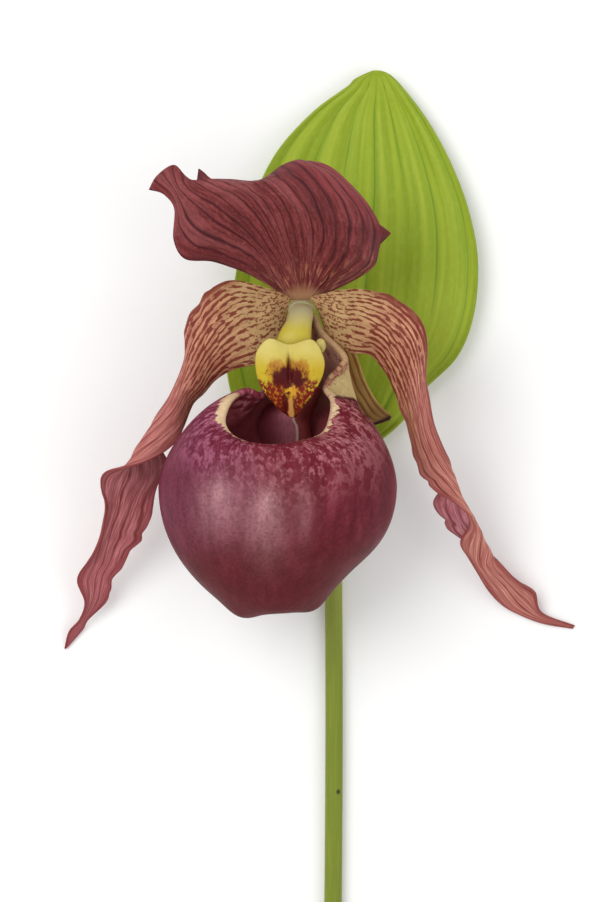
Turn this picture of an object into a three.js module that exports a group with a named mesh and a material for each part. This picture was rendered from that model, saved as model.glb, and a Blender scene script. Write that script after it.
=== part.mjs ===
// A cut flower stem of a large slipper orchid, lying on its back on a surface.
//
// Millimetres. +Z is up, which is also the way the flower faces. +Y runs from the cut
// end of the stem towards the tip of the floral leaf, and +X is on the right when the
// flower is seen from the front. The origin is the flat spot under the floral leaf
// that the flower rests on.
//
// Every piece is one closed solid. The thin pieces (leaf, sepals, petals) are sheets
// of even thickness around a smooth middle surface. The stout ones (stem, ovary,
// column) are lofts along a curve. The lip is a thin-walled pouch.

import * as THREE from 'three';

// ---- Driving dimensions -----------------------------------------------------------

const BLADE_THICKNESS = 0.8;
const LIP_WALL = 1.0;
const STEM_RADIUS = 2.2;
const STEM_CUT_END_Y = -163;
const STEM_NODE_Y = -43.6;
const STEM_NODE_RADIUS = 2.7;
const STEM_NODE_LENGTH = 5;
const STEM_BOW = 0.4;
const STEM_CENTRE_X = -1.9;

// The spot under the leaf that is pressed flat: half sizes along X and Y.
const REST_PATCH = { halfX: 11, halfY: 13 };

// The leaf's lengthwise pleats: how far apart the valleys between them lie, as a share of
// half the leaf's width, and how high they stand.
const PLEAT_SPACING = 0.3;
const PLEAT_HEIGHT = 0.6;

// Ruffles along the petals' margins.
const PETAL_RUFFLE = { height: 0.4, waves: 7 };

// Small lobes and notches in the petals' margins, on the first and the last rail of the
// stations: where along the blade, how far out, and how wide as a share of the blade.
const LEFT_PETAL_FRILLS = {
  first: [
    [0.185, 0.5, 0.012], [0.205, -0.4, 0.01], [0.235, 0.4, 0.012], [0.262, -0.2, 0.012],
    [0.655, 0.2, 0.012], [0.69, -0.5, 0.009], [0.705, 0.3, 0.008], [0.727, -0.5, 0.01],
    [0.752, 0.2, 0.008], [0.765, 0.45, 0.009], [0.79, -0.3, 0.01], [0.81, 0.4, 0.012],
  ],
  last: [[0.62, 0.25, 0.012], [0.66, -0.25, 0.014], [0.72, 0.25, 0.014]],
};
const RIGHT_PETAL_FRILLS = {
  first: [[0.14, 0.3, 0.014], [0.17, -0.2, 0.012], [0.628, -0.8, 0.01], [0.66, 0.3, 0.01]],
  last: [[0.4, 0.3, 0.012], [0.42, -0.3, 0.01], [0.445, 0.3, 0.01], [0.476, -0.6, 0.01]],
};

// The lip's pouch, below its widest level: half sizes, and how it departs from an
// ellipsoid there, as shares of its size. The waist lies at an angle from the lowest
// point and is deeper on the right. The toes stand out, or in, round an axis.
const POUCH = {
  centre: [-15.3, -46.4, 34],
  halfX: 28.5,
  halfZ: 22,
  depth: 31.7,
  waist: { amount: 0.07, lean: 0.047, angle: 42, width: 24 },
  toes: [
    { axis: [-0.31, -0.95, 0.05], amount: 0.039, width: 9 },
    { axis: [0.34, -0.94, 0.05], amount: 0.024, width: 7 },
    { axis: [0, -1, 0], amount: -0.078, width: 10 },
  ],
  shoulderRise: 8,
};

// ---- Hand-placed shape of the thin pieces -------------------------------------------
// Each station is [one margin, middle line, other margin], from the base to the tip.

const LEAF_STATIONS = [
  [[-5, -43, 3], [-2, -43, 0.6], [1, -43, 3]],
  [[-12, -38.5, 5], [-0.5, -35, 0.8], [8.5, -36.5, 5]],
  [[-21.5, -32.5, 4], [1.5, -26.5, 0.8], [15.5, -30.5, 5]],
  [[-27, -24, 4], [3, -17.5, 0.8], [20.8, -22.9, 5]],
  [[-28.5, -12.5, 4], [5, -7.5, 0.8], [29.2, -14.4, 5]],
  [[-27, 0, 4.5], [6.5, 2.5, 0.8], [33.3, -4, 5.5]],
  [[-25, 12, 5], [7.5, 13.5, 0.8], [34.3, 9.5, 6]],
  [[-22, 24, 5], [8.5, 25, 0.8], [32, 22, 6]],
  [[-16, 36.5, 4.5], [8.5, 36, 1], [27.5, 34, 5.5]],
  [[-7, 46.5, 4], [8.5, 46, 2], [22.4, 43.4, 5]],
  [[1.5, 52.7, 4], [9, 52, 3.5], [16.8, 51, 5]],
  [[3.6, 54.6, 4.4], [9, 54.8, 4.2], [12.9, 55.2, 4.9]],
  [[8.2, 56.7, 5], [9, 56.8, 5], [9.8, 56.7, 5]],
];

const LEFT_PETAL_STATIONS = [
  [[-11.9, -0.5, 24.1], [-12.6, -1.7, 24.6], [-13.6, -6.2, 26.8]],
  [[-18, 1.5, 29], [-17.5, -4, 30], [-14.6, -11, 30.3]],
  [[-25.5, 3, 34], [-24, -5.5, 35], [-19.5, -16.5, 33]],
  [[-30.2, 1.5, 36.5], [-28.5, -9, 37.5], [-25.5, -18.2, 32]],
  [[-33.7, -2, 38], [-32.5, -14.5, 38], [-30.5, -21, 31]],
  [[-36.8, -7.2, 38.5], [-35, -19, 38], [-34, -24.5, 31]],
  [[-36.9, -14, 38], [-37.8, -23.5, 37], [-36, -27.5, 31]],
  [[-40.6, -23.2, 35.5], [-40.5, -28.5, 36], [-37.8, -32, 32.5]],
  [[-44.2, -30.2, 31], [-44.5, -32.5, 34.5], [-40, -36, 33.5]],
  [[-44.5, -35.5, 26.5], [-49, -37, 32], [-44, -39, 34]],
  [[-42.5, -39.5, 22.5], [-50.5, -40.5, 28.5], [-50, -41.5, 33]],
  [[-43, -43, 20], [-51.5, -44.5, 25], [-56.8, -42.7, 30]],
  [[-45.2, -47.5, 18.5], [-53, -48, 22], [-58.2, -46, 26.5]],
  [[-46.3, -53, 17], [-54.5, -52.5, 19], [-56.8, -51, 22.5]],
  [[-48.8, -59.3, 14], [-56.5, -58, 15.5], [-58.7, -59, 18]],
  [[-53.2, -64.8, 10.5], [-58.5, -64, 12], [-62.2, -65, 14]],
  [[-56.7, -70.6, 7.5], [-60.5, -69, 9], [-64.9, -69.7, 10.5]],
  [[-58, -75.2, 4.5], [-61.5, -74.5, 6], [-63.3, -75.2, 7.5]],
  [[-62.8, -79.8, 2.6], [-64, -79.8, 3.4], [-64.8, -79.6, 4.4]],
  [[-64.2, -82.3, 0.9], [-65.8, -82.6, 1.8], [-67.6, -82.9, 2.8]],
  [[-68.1, -86.7, 0.4], [-68.5, -87, 0.4], [-68.9, -87.3, 0.4]],
];

const RIGHT_PETAL_STATIONS = [
  [[-7.7, -0.5, 24.1], [-7, -1.4, 24.4], [-5.7, -3.2, 24]],
  [[0.5, 1, 29], [-1, -4.5, 30], [-3, -10, 27]],
  [[7, 0.5, 33.5], [5.5, -6, 35], [2, -14, 28.5]],
  [[13.8, -2, 36], [11, -9, 37], [7, -14.5, 29.5]],
  [[18.8, -7, 37.5], [15, -14.5, 37.5], [11, -20, 30.5]],
  [[20.3, -12.5, 37], [17, -20, 36.5], [13.5, -25.5, 30.5]],
  [[19.8, -21.5, 35], [18.5, -26.5, 34.5], [15.3, -30.5, 29]],
  [[22.1, -31, 32], [20.5, -34, 31.5], [17, -37, 26.5]],
  [[24.9, -38, 29], [23.3, -40.5, 28.5], [19.4, -43, 24]],
  [[26, -44, 23.5], [27.3, -45.7, 26.5], [21.5, -46.5, 25.5]],
  [[22.7, -49.8, 18], [30.1, -51, 23], [26, -49.5, 26.5]],
  [[24, -53.5, 15.5], [31.7, -54.7, 20], [30.2, -52.5, 24]],
  [[27.1, -57.5, 13], [34, -58, 16.5], [31, -56, 20.5]],
  [[35.2, -62.4, 10.8], [36.1, -62, 13.5], [29.1, -60, 16.5]],
  [[39.6, -65.8, 9.5], [36, -66, 11.5], [32, -65, 12]],
  [[44.4, -70.3, 8], [40.5, -71, 6.5], [36.7, -72.5, 6]],
  [[48.4, -72.7, 5.5], [45, -76, 3], [41.7, -77, 2]],
  [[50.3, -78, 2.5], [50.2, -79.4, 1.5], [49.6, -80.6, 1]],
  [[58.7, -81.3, 0.4], [58.4, -81.8, 0.4], [58.1, -82.2, 0.4]],
];

const SYNSEPAL_STATIONS = [
  [[-11, -6.2, 21.6], [-9.5, -6.2, 21.4], [-8, -6.2, 21.6]],
  [[-9, -12, 18.5], [-3.5, -12, 17.5], [2, -11.5, 19.5]],
  [[-9.5, -20.5, 15.5], [-1.5, -20.5, 14], [6, -20.5, 16]],
  [[-6.5, -28, 12.5], [1.5, -27, 11.5], [8.7, -25.2, 13.3]],
  [[-1.5, -33, 11.5], [5, -31, 11], [11.2, -27.9, 12.3]],
  [[12, -30.2, 11.5], [12.3, -29.8, 11.5], [12.5, -29.3, 11.5]],
];

// The dorsal sepal's rails: each row follows the veins from the base over the hood to
// the outer end, from the left margin round to the right one.
const DORSAL_SEPAL_RAILS = [
  [[-12.4, -1.1, 22.4], [-18, 2.5, 25.5], [-24, 5.5, 28.5], [-31, 7.5, 32.5], [-37.5, 8, 36.5],
    [-40, 12.5, 40], [-39.5, 19, 42.5], [-42, 22.5, 45], [-45.5, 23.5, 47]],
  [[-11.9, -1.1, 22.4], [-17, 3.5, 27.5], [-21.5, 8, 32], [-28, 11, 36], [-33.5, 13, 39.5],
    [-37, 16.5, 42], [-38.5, 20.5, 44], [-40, 23.5, 45.5], [-43.5, 27, 46]],
  [[-11.4, -1.1, 22.4], [-15.5, 4.5, 29], [-19.5, 10, 34], [-24.5, 14, 38.5], [-29, 17, 42],
    [-33, 20, 44], [-36.5, 22.5, 45], [-38.5, 25, 45.5], [-39.5, 29.5, 45]],
  [[-10.9, -1.1, 22.4], [-14, 5.5, 30], [-17.5, 11, 35.5], [-21, 15.5, 40], [-25, 19, 43.5],
    [-29, 22, 45.5], [-32, 23.5, 46], [-34.5, 25, 46], [-36, 26, 45.5]],
  [[-10.4, -1.1, 22.4], [-13, 6, 30.5], [-15.5, 12, 36.5], [-18, 16.5, 41.5], [-21, 20.5, 45],
    [-24, 23, 46.8], [-27.5, 24.5, 47], [-30, 25.5, 46.5], [-32, 26, 45.5]],
  [[-9.9, -1.1, 22.4], [-11.5, 6.5, 31], [-13.5, 12, 37.5], [-15.5, 17, 42.5], [-18, 21, 46],
    [-20.5, 23, 47.5], [-22.5, 24.5, 47.5], [-24.5, 25, 46.5], [-26.5, 26, 45]],
  [[-9.4, -1.1, 22.4], [-10, 6.5, 31.5], [-11, 12, 38], [-12.5, 17.5, 43], [-14.5, 21, 46.3],
    [-17, 23.5, 47.5], [-19, 25, 47.3], [-20, 25.5, 46], [-20.5, 25.5, 44.5]],
  [[-8.9, -1.1, 22.4], [-8.5, 6.5, 31.5], [-8, 12, 38], [-9, 17, 43], [-11, 21, 46],
    [-13.5, 24, 47], [-15.5, 25.5, 46.5], [-17, 26.5, 45], [-17.5, 27, 43]],
  [[-8.4, -1.1, 22.4], [-6, 6, 31], [-4.5, 11.5, 37.5], [-4.5, 16.5, 42], [-6.5, 21.5, 45],
    [-9, 25, 46], [-11.5, 27, 45.3], [-13, 28.5, 43.5], [-14.5, 29.5, 41.5]],
  [[-7.9, -1.1, 22.4], [-3.5, 4.5, 30], [0, 9.5, 36], [1, 15, 40.5], [-0.5, 20.5, 43],
    [-4, 25, 44], [-6.5, 28, 43.5], [-9, 30, 42], [-11, 31, 40]],
  [[-7.4, -1.1, 22.4], [-1, 3.5, 27.5], [4.5, 7.5, 32], [6, 13, 36.5], [5, 18.5, 39.5],
    [1.5, 23.5, 41], [-2.5, 27.5, 41], [-6.5, 29.5, 40], [-9, 31, 38.5]],
  [[-6.9, -1.1, 22.4], [1, 2.5, 24.8], [7.5, 6.5, 27.5], [9, 11, 31], [9, 16, 34.5],
    [6, 21, 37], [0.5, 27, 38], [-3.5, 30, 38], [-7.5, 31, 37.5]],
];

// Points that stand out of the sepal's edge: where they are along (u) and across (v) the
// blade, how far each fades before and after that, and which way it is drawn out.
const SEPAL_POINTS = [
  { u: 1, uFade: [0.06, 0.06], v: -0.318, vFade: [0.05, 0.07], pull: [-0.7, 2.9, 0.6] },
  { u: 0.45, uFade: [0.055, 0.05], v: 1, vFade: [0.09, 0.09], pull: [2.5, 0.3, 0.2] },
];

// The fold of the lip's back wall, inside the pouch: its left foot, crest and right foot.
const LIP_FOLD_STATIONS = [
  [[-12, -22.5, 20.8], [-7, -22, 27.5], [-4.8, -23.2, 23.6]],
  [[-16, -25.5, 19.3], [-9.3, -26.3, 27.5], [-6.5, -26.6, 20.2]],
  [[-19, -28.5, 18.9], [-11.6, -29.4, 26], [-7.8, -29.6, 18.3]],
  [[-20, -32, 18], [-10.8, -31.8, 23.7], [-7.8, -32.4, 17.6]],
  [[-19, -36, 16.4], [-10.7, -35.5, 19.5], [-7.6, -35.8, 17]],
  [[-16.5, -39.2, 15.4], [-10.6, -39.4, 15.9], [-8, -39, 16.1]],
];

// The lip's rim, round the mouth and up to the claw: the angle round the pouch (0 right,
// 90 front, 180 left, 270 back), the rim's point, and the way the wall comes to it.
const LIP_RIM = [
  { angle: 0, point: [-2, -26, 39], approach: [8, 1, -1] },
  { angle: 30, point: [-4, -33, 46], approach: [6.5, 1, 3] },
  { angle: 60, point: [-9.5, -35.5, 49.5], approach: [3, 1, 5] },
  { angle: 90, point: [-17, -36.5, 50.5], approach: [0, 1, 5] },
  { angle: 120, point: [-24.5, -35, 48.5], approach: [-3, 1, 5] },
  { angle: 150, point: [-28, -31, 45], approach: [-6, 1, 3] },
  { angle: 180, point: [-26.5, -25.5, 41], approach: [-6, 1, 0] },
  { angle: 200, point: [-22.8, -23, 38], approach: [-6, -1, -3] },
  { angle: 220, point: [-18.3, -23.2, 34], approach: [-3, -4, -5] },
  { angle: 243, point: [-14.3, -9.5, 28], approach: [-0.5, -9, -5] },
  { angle: 257, point: [-13, -5.4, 25.5], approach: [-0.5, -9, -6] },
  { angle: 270, point: [-9.8, -7.8, 24.8], approach: [0, -9, -6] },
  { angle: 283, point: [-6.4, -5, 25.8], approach: [0.5, -9, -6] },
  { angle: 297, point: [-4.5, -9, 28.5], approach: [0.5, -9, -5] },
  { angle: 315, point: [1, -15, 33], approach: [1, -8, -6] },
  { angle: 330, point: [0, -18, 34], approach: [3.5, -6, -6] },
  { angle: 345, point: [-3.5, -22, 34.5], approach: [6, -4, -5] },
];

// Outline of the heart-shaped shield, clockwise from its notch, and its middle.
const SHIELD_OUTLINE = [
  [-12.6, -12.6], [-17.2, -11.2], [-20.1, -14.2], [-20.4, -17.8], [-19.5, -21.6],
  [-17.8, -24.4], [-14.8, -27.7], [-11.5, -29.7], [-9.2, -27], [-6.5, -23.3],
  [-4.6, -19.2], [-4.6, -15.4], [-7.2, -11.5],
];
const SHIELD_MIDDLE = [-12.4, -19];
const SHIELD = { topZ: 38.4, tipZ: 37.2, edge: 0.8, crown: 2.2, back: 0.5 };

// ---- Helpers ------------------------------------------------------------------------

const vector = (coordinates) => new THREE.Vector3(...coordinates);

const spline = (points, closed = false) =>
  new THREE.CatmullRomCurve3(points.map(vector), closed, 'catmullrom', 0.5);

/** A smooth hump of height 1 round zero. */
const hump = (distance, width) => Math.exp(-((distance / width) ** 2));

/** How far the frills of a margin stand out at u. */
const frillAt = (frills, u) =>
  frills.reduce((sum, [at, out, width]) => sum + out * hump(u - at, width), 0);

/** The middle surface through three rails; v runs from -1 over 0 to 1 across them. */
function threeRailSurface(stations, frills = { first: [], last: [] }) {
  const rails = [0, 1, 2].map((side) => spline(stations.map((station) => station[side])));
  return (u, v) => {
    const [first, middle, last] = rails.map((rail) => rail.getPoint(u));
    const outward = (margin) => margin.clone().sub(middle).normalize();
    first.addScaledVector(outward(first), frillAt(frills.first, u));
    last.addScaledVector(outward(last), frillAt(frills.last, u));
    return middle.multiplyScalar(1 - v * v)
      .addScaledVector(first, (v * (v - 1)) / 2)
      .addScaledVector(last, (v * (v + 1)) / 2);
  };
}

/** The surface through any number of rails; v runs from -1 to 1 across them. */
function manyRailSurface(rows) {
  const rails = rows.map((row) => spline(row));
  return (u, v) => {
    const across = rails.map((rail) => rail.getPoint(u).toArray());
    return spline(across).getPoint((v + 1) / 2);
  };
}

/** The surface with its edge drawn out to points. */
function drawnOut(surface, points) {
  const share = (distance, [before, after]) =>
    Math.max(0, 1 - Math.abs(distance) / (distance < 0 ? before : after));
  return (u, v) => points.reduce((point, at) => {
    const pull = share(u - at.u, at.uFade) * share(v - at.v, at.vFade);
    return point.addScaledVector(vector(at.pull), pull);
  }, surface(u, v));
}

/** Unit normal of a surface at (u, v), by central differences inside its bounds. */
function surfaceNormal(surface, u, v) {
  const step = 1e-3;
  const along = surface(Math.min(u + step, 1), v).sub(surface(Math.max(u - step, 0), v));
  const across = surface(u, Math.min(v + step, 1)).sub(surface(u, Math.max(v - step, -1)));
  return across.cross(along).normalize();
}

/** The surface raised along its normal by relief(u, v). */
const raised = (surface, relief) => (u, v) =>
  surface(u, v).addScaledVector(surfaceNormal(surface, u, v), relief(u, v));

function geometryFrom(vertices, triangles) {
  const geometry = new THREE.BufferGeometry();
  const positions = vertices.flatMap((vertex) => vertex.toArray());
  geometry.setAttribute('position', new THREE.Float32BufferAttribute(positions, 3));
  geometry.setIndex(triangles.flat());
  geometry.computeVertexNormals();
  return geometry;
}

/** A closed sheet of even thickness round a surface. Both faces are split alike. */
function sheetGeometry(surface, { rows, columns, restPatch = null }) {
  const top = [];
  const underside = [];
  for (let i = 0; i <= rows; i += 1) {
    for (let j = 0; j <= columns; j += 1) {
      const u = i / rows;
      const v = (2 * j) / columns - 1;
      const middle = surface(u, v);
      const half = surfaceNormal(surface, u, v).multiplyScalar(BLADE_THICKNESS / 2);
      const faces = [middle.clone().add(half), middle.clone().sub(half)];
      faces.forEach((point) => { point.z = Math.max(point.z, 0); });
      const lower = faces[1];
      if (restPatch && Math.abs(lower.x) < restPatch.halfX
          && Math.abs(lower.y) < restPatch.halfY) {
        lower.z = 0;
      }
      top.push(faces[0]);
      underside.push(lower);
    }
  }
  const at = (i, j) => i * (columns + 1) + j;
  const below = top.length;
  const triangles = [];
  for (let i = 0; i < rows; i += 1) {
    for (let j = 0; j < columns; j += 1) {
      const [a, b, c, d] = [at(i, j), at(i, j + 1), at(i + 1, j + 1), at(i + 1, j)];
      triangles.push([a, b, c], [a, c, d]);
      triangles.push([below + a, below + c, below + b], [below + a, below + d, below + c]);
    }
  }
  const border = [];
  for (let j = 0; j < columns; j += 1) border.push(at(0, j));
  for (let i = 0; i < rows; i += 1) border.push(at(i, columns));
  for (let j = columns; j > 0; j -= 1) border.push(at(rows, j));
  for (let i = rows; i > 0; i -= 1) border.push(at(i, 0));
  border.forEach((a, k) => {
    const b = border[(k + 1) % border.length];
    triangles.push([b, a, below + a], [b, below + a, below + b]);
  });
  return geometryFrom([...top, ...underside], triangles);
}

/** A capped loft along a curve; radii(u, angle) gives the half sizes of the section. */
function loftGeometry(curve, { rows, sides, radii }) {
  const vertices = [];
  const sideways = new THREE.Vector3(1, 0, 0);
  for (let i = 0; i <= rows; i += 1) {
    const u = i / rows;
    const centre = curve.getPoint(u);
    const tangent = curve.getTangent(u);
    const outward = new THREE.Vector3().crossVectors(sideways, tangent).normalize();
    const across = new THREE.Vector3().crossVectors(tangent, outward).normalize();
    for (let k = 0; k < sides; k += 1) {
      const angle = (k / sides) * 2 * Math.PI;
      const [halfAcross, halfOut] = radii(u, angle);
      const point = centre.clone();
      point.addScaledVector(across, halfAcross * Math.cos(angle));
      point.addScaledVector(outward, halfOut * Math.sin(angle));
      vertices.push(point);
    }
  }
  const triangles = [];
  for (let i = 0; i < rows; i += 1) {
    for (let k = 0; k < sides; k += 1) {
      const next = (k + 1) % sides;
      const [a, b] = [i * sides + k, i * sides + next];
      const [c, d] = [b + sides, a + sides];
      triangles.push([a, c, b], [a, d, c]);
    }
  }
  const start = vertices.push(curve.getPoint(0)) - 1;
  const end = vertices.push(curve.getPoint(1)) - 1;
  const last = rows * sides;
  for (let k = 0; k < sides; k += 1) {
    const next = (k + 1) % sides;
    triangles.push([start, k, next], [end, last + next, last + k]);
  }
  return geometryFrom(vertices, triangles);
}

function piece(name, geometry, color, roughness = 0.6) {
  const material = new THREE.MeshStandardMaterial({ color, roughness, metalness: 0 });
  const mesh = new THREE.Mesh(geometry, material);
  mesh.name = name;
  return mesh;
}

// ---- The pieces -----------------------------------------------------------------------

function stem() {
  const sides = 10;
  const rows = 18;
  const length = STEM_NODE_Y - STEM_CUT_END_Y;
  const radiusAt = (u) => STEM_RADIUS
    + (STEM_NODE_RADIUS - STEM_RADIUS) * Math.exp(-((length * (1 - u) / STEM_NODE_LENGTH) ** 2));
  const stations = Array.from({ length: rows + 1 }, (_, row) => {
    const u = row / rows;
    const bow = STEM_BOW * Math.sin(Math.PI * u);
    return [STEM_CENTRE_X + bow, STEM_CUT_END_Y + length * u, radiusAt(u)];
  });
  const radii = (u) => {
    const radius = radiusAt(u) / Math.cos(Math.PI / sides);
    return [radius, radius];
  };
  // Ten sides from the +X one put a flat facet, not a corner, on the surface.
  const geometry = loftGeometry(spline(stations), { rows, sides, radii });
  return piece('stem', geometry, 0x8a9a30);
}

function ovary() {
  const ribs = 6;
  const curve = spline([
    [-2.2, -43, 3.9], [-2.6, -35, 4.2], [-3.8, -26, 5.2], [-5.8, -17.5, 7.6],
    [-8, -9.5, 11.2], [-9.6, -4.4, 15.6], [-9.8, -3, 19.6],
  ]);
  const girth = spline([[0, 1.9, 0], [0.2, 2.3, 0], [0.5, 2.8, 0], [0.8, 2.6, 0], [1, 3.2, 0]]);
  const radii = (u, angle) => {
    const radius = girth.getPoint(u).y * (1 + 0.07 * Math.cos(ribs * angle));
    return [radius, radius];
  };
  const geometry = loftGeometry(curve, { rows: 12, sides: 2 * ribs, radii });
  return piece('ovary', geometry, 0x7d8c35);
}

function bract() {
  const pleat = (v) => Math.abs(Math.sin((Math.PI * v) / PLEAT_SPACING));
  const relief = (u, v) => PLEAT_HEIGHT * pleat(v) * Math.sin(Math.PI * u);
  const surface = raised(threeRailSurface(LEAF_STATIONS), relief);
  const size = { rows: 22, columns: 20, restPatch: REST_PATCH };
  return piece('bract', sheetGeometry(surface, size), 0x8b9e28, 0.5);
}

function petal(name, stations, frills) {
  const relief = (u, v) => PETAL_RUFFLE.height * Math.abs(v) ** 3
    * Math.sin(Math.PI * u) * Math.sin(2 * Math.PI * PETAL_RUFFLE.waves * u + v);
  const surface = raised(threeRailSurface(stations, frills), relief);
  return piece(name, sheetGeometry(surface, { rows: 96, columns: 6 }), 0x924d4c);
}

function synsepal() {
  const surface = threeRailSurface(SYNSEPAL_STATIONS);
  return piece('synsepal', sheetGeometry(surface, { rows: 14, columns: 8 }), 0x654a1f);
}

function dorsalSepal() {
  const surface = drawnOut(manyRailSurface(DORSAL_SEPAL_RAILS), SEPAL_POINTS);
  return piece('dorsal_sepal', sheetGeometry(surface, { rows: 20, columns: 44 }), 0x672d2d);
}

/** The rim's point and approach at an angle round the pouch, in degrees. */
function lipRim() {
  const point = spline(LIP_RIM.map((row) => row.point), true);
  const approach = spline(LIP_RIM.map((row) => row.approach), true);
  return (angle) => {
    const next = LIP_RIM.findIndex((row) => row.angle > angle);
    const from = next === -1 ? LIP_RIM.length - 1 : next - 1;
    const until = next === -1 ? 360 : LIP_RIM[next].angle;
    const share = (angle - LIP_RIM[from].angle) / (until - LIP_RIM[from].angle);
    const t = (from + share) / LIP_RIM.length;
    return { point: point.getPoint(t), approach: approach.getPoint(t) };
  };
}

/** The pouch's lower part, at an angle from its lowest point and a turn, in radians. */
function pouchBelow(polar, turn) {
  const direction = new THREE.Vector3(
    Math.sin(polar) * Math.cos(turn),
    -Math.cos(polar),
    Math.sin(polar) * Math.sin(turn),
  );
  const { waist, toes } = POUCH;
  const narrowing = (waist.amount + waist.lean * Math.cos(turn))
    * hump(THREE.MathUtils.radToDeg(polar) - waist.angle, waist.width);
  const swelling = toes.reduce((sum, { axis, amount, width }) => sum
    + amount * hump(THREE.MathUtils.radToDeg(direction.angleTo(vector(axis))), width), 0);
  return direction.multiply(new THREE.Vector3(POUCH.halfX, POUCH.depth, POUCH.halfZ))
    .multiplyScalar(1 - narrowing + swelling)
    .add(vector(POUCH.centre));
}

/** The pouch's outer surface: t runs from its lowest point over the widest level (0.5)
 * to the rim, v goes once round it from 0 to 1. */
function pouchSurface() {
  const rimAt = lipRim();
  return (t, v) => {
    const angle = 360 * (((v % 1) + 1) % 1);
    const turn = THREE.MathUtils.degToRad(angle);
    if (t <= 0.5) return pouchBelow(Math.PI * t, turn);
    const rim = rimAt(angle);
    const widest = pouchBelow(Math.PI / 2, turn);
    const meridian = new THREE.CubicBezierCurve3(
      widest,
      widest.clone().add(new THREE.Vector3(0, POUCH.shoulderRise, 0)),
      rim.point.clone().add(rim.approach),
      rim.point,
    );
    return meridian.getPoint(2 * t - 1);
  };
}

function lip() {
  const surface = pouchSurface();
  const around = 36;
  const rows = 18;
  const step = 1e-3;
  const normalAt = (t, v) => {
    const along = surface(Math.min(t + step, 1), v).sub(surface(t - step, v));
    const across = surface(t, v + step).sub(surface(t, v - step));
    return along.cross(across).normalize();
  };
  const outer = [surface(0, 0)];
  const inner = [surface(0, 0).add(new THREE.Vector3(0, LIP_WALL, 0))];
  for (let i = 1; i <= rows; i += 1) {
    for (let k = 0; k < around; k += 1) {
      const point = surface(i / rows, k / around);
      outer.push(point);
      inner.push(point.clone().addScaledVector(normalAt(i / rows, k / around), -LIP_WALL));
    }
  }
  const within = outer.length;
  const at = (i, k) => 1 + (i - 1) * around + (k % around);
  const triangles = [];
  for (let k = 0; k < around; k += 1) {
    triangles.push([0, at(1, k), at(1, k + 1)]);
    triangles.push([within, within + at(1, k + 1), within + at(1, k)]);
    for (let i = 1; i < rows; i += 1) {
      const [a, b, c, d] = [at(i, k), at(i, k + 1), at(i + 1, k + 1), at(i + 1, k)];
      triangles.push([a, d, c], [a, c, b]);
      triangles.push([within + a, within + c, within + d], [within + a, within + b, within + c]);
    }
    const [a, b] = [at(rows, k), at(rows, k + 1)];
    triangles.push([b, a, within + a], [b, within + a, within + b]);
  }
  return piece('lip', geometryFrom([...outer, ...inner], triangles), 0x6e333e, 0.35);
}

function lipFold() {
  const surface = threeRailSurface(LIP_FOLD_STATIONS);
  return piece('lip_fold', sheetGeometry(surface, { rows: 10, columns: 6 }), 0x6e333e, 0.4);
}

function column() {
  const curve = spline([
    [-9.8, -3.6, 20.8], [-9.8, -3.9, 24.5], [-9.8, -5.1, 29.2], [-10.2, -7.2, 32.9],
    [-11, -10, 34.8], [-11.7, -12.9, 35],
  ]);
  const halfAcross = spline([
    [0, 2.8, 0], [0.2, 2.9, 0], [0.4, 3, 0], [0.6, 3.1, 0], [0.8, 3.8, 0], [1, 4.2, 0],
  ]);
  const halfDeep = spline([
    [0, 1.8, 0], [0.2, 1.8, 0], [0.4, 2, 0], [0.6, 2.2, 0], [0.8, 2.3, 0], [1, 2, 0],
  ]);
  const radii = (u) => [halfAcross.getPoint(u).y, halfDeep.getPoint(u).y];
  return piece('column', loftGeometry(curve, { rows: 10, sides: 14, radii }), 0xbcad63, 0.4);
}

function staminode() {
  const outline = spline(SHIELD_OUTLINE.map(([x, y]) => [x, y, 0]), true);
  const around = 26;
  const rings = 5;
  const top = SHIELD_OUTLINE[0][1];
  const tip = SHIELD_OUTLINE[7][1];
  const heightAt = (y) => THREE.MathUtils.mapLinear(y, tip, top, SHIELD.tipZ, SHIELD.topZ);
  const middle = new THREE.Vector3(...SHIELD_MIDDLE, 0);
  const faces = [[], []];
  const add = (point, share) => {
    const swell = 1 - share * share;
    const z = heightAt(point.y);
    faces[0].push(new THREE.Vector3(point.x, point.y, z + SHIELD.edge / 2 + SHIELD.crown * swell));
    faces[1].push(new THREE.Vector3(point.x, point.y, z - SHIELD.edge / 2 - SHIELD.back * swell));
  };
  add(middle, 0);
  for (let ring = 1; ring <= rings; ring += 1) {
    const share = Math.sin((Math.PI / 2) * (ring / rings));
    for (let k = 0; k < around; k += 1) {
      add(middle.clone().lerp(outline.getPoint(k / around), share), share);
    }
  }
  const below = faces[0].length;
  const at = (ring, k) => 1 + (ring - 1) * around + (k % around);
  const triangles = [];
  for (let k = 0; k < around; k += 1) {
    triangles.push([0, at(1, k), at(1, k + 1)], [below, below + at(1, k + 1), below + at(1, k)]);
    for (let ring = 1; ring < rings; ring += 1) {
      const [a, b] = [at(ring, k), at(ring, k + 1)];
      const [c, d] = [at(ring + 1, k + 1), at(ring + 1, k)];
      triangles.push([a, d, c], [a, c, b]);
      triangles.push([below + a, below + c, below + d], [below + a, below + b, below + c]);
    }
    const [a, b] = [at(rings, k), at(rings, k + 1)];
    triangles.push([b, a, below + a], [b, below + a, below + b]);
  }
  return piece('staminode', geometryFrom(faces.flat(), triangles), 0xcbba4e, 0.3);
}

/** A small rounded body: half sizes along X, Y and Z, tipped about X. */
function lobe(name, centre, halfSizes, tip, color) {
  const mesh = piece(name, new THREE.SphereGeometry(1, 12, 8), color, 0.4);
  mesh.position.set(...centre);
  mesh.rotation.x = THREE.MathUtils.degToRad(tip);
  mesh.scale.set(...halfSizes);
  return mesh;
}

const ANTHER_HALF_SIZES = [1.3, 1.8, 1.2];

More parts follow.
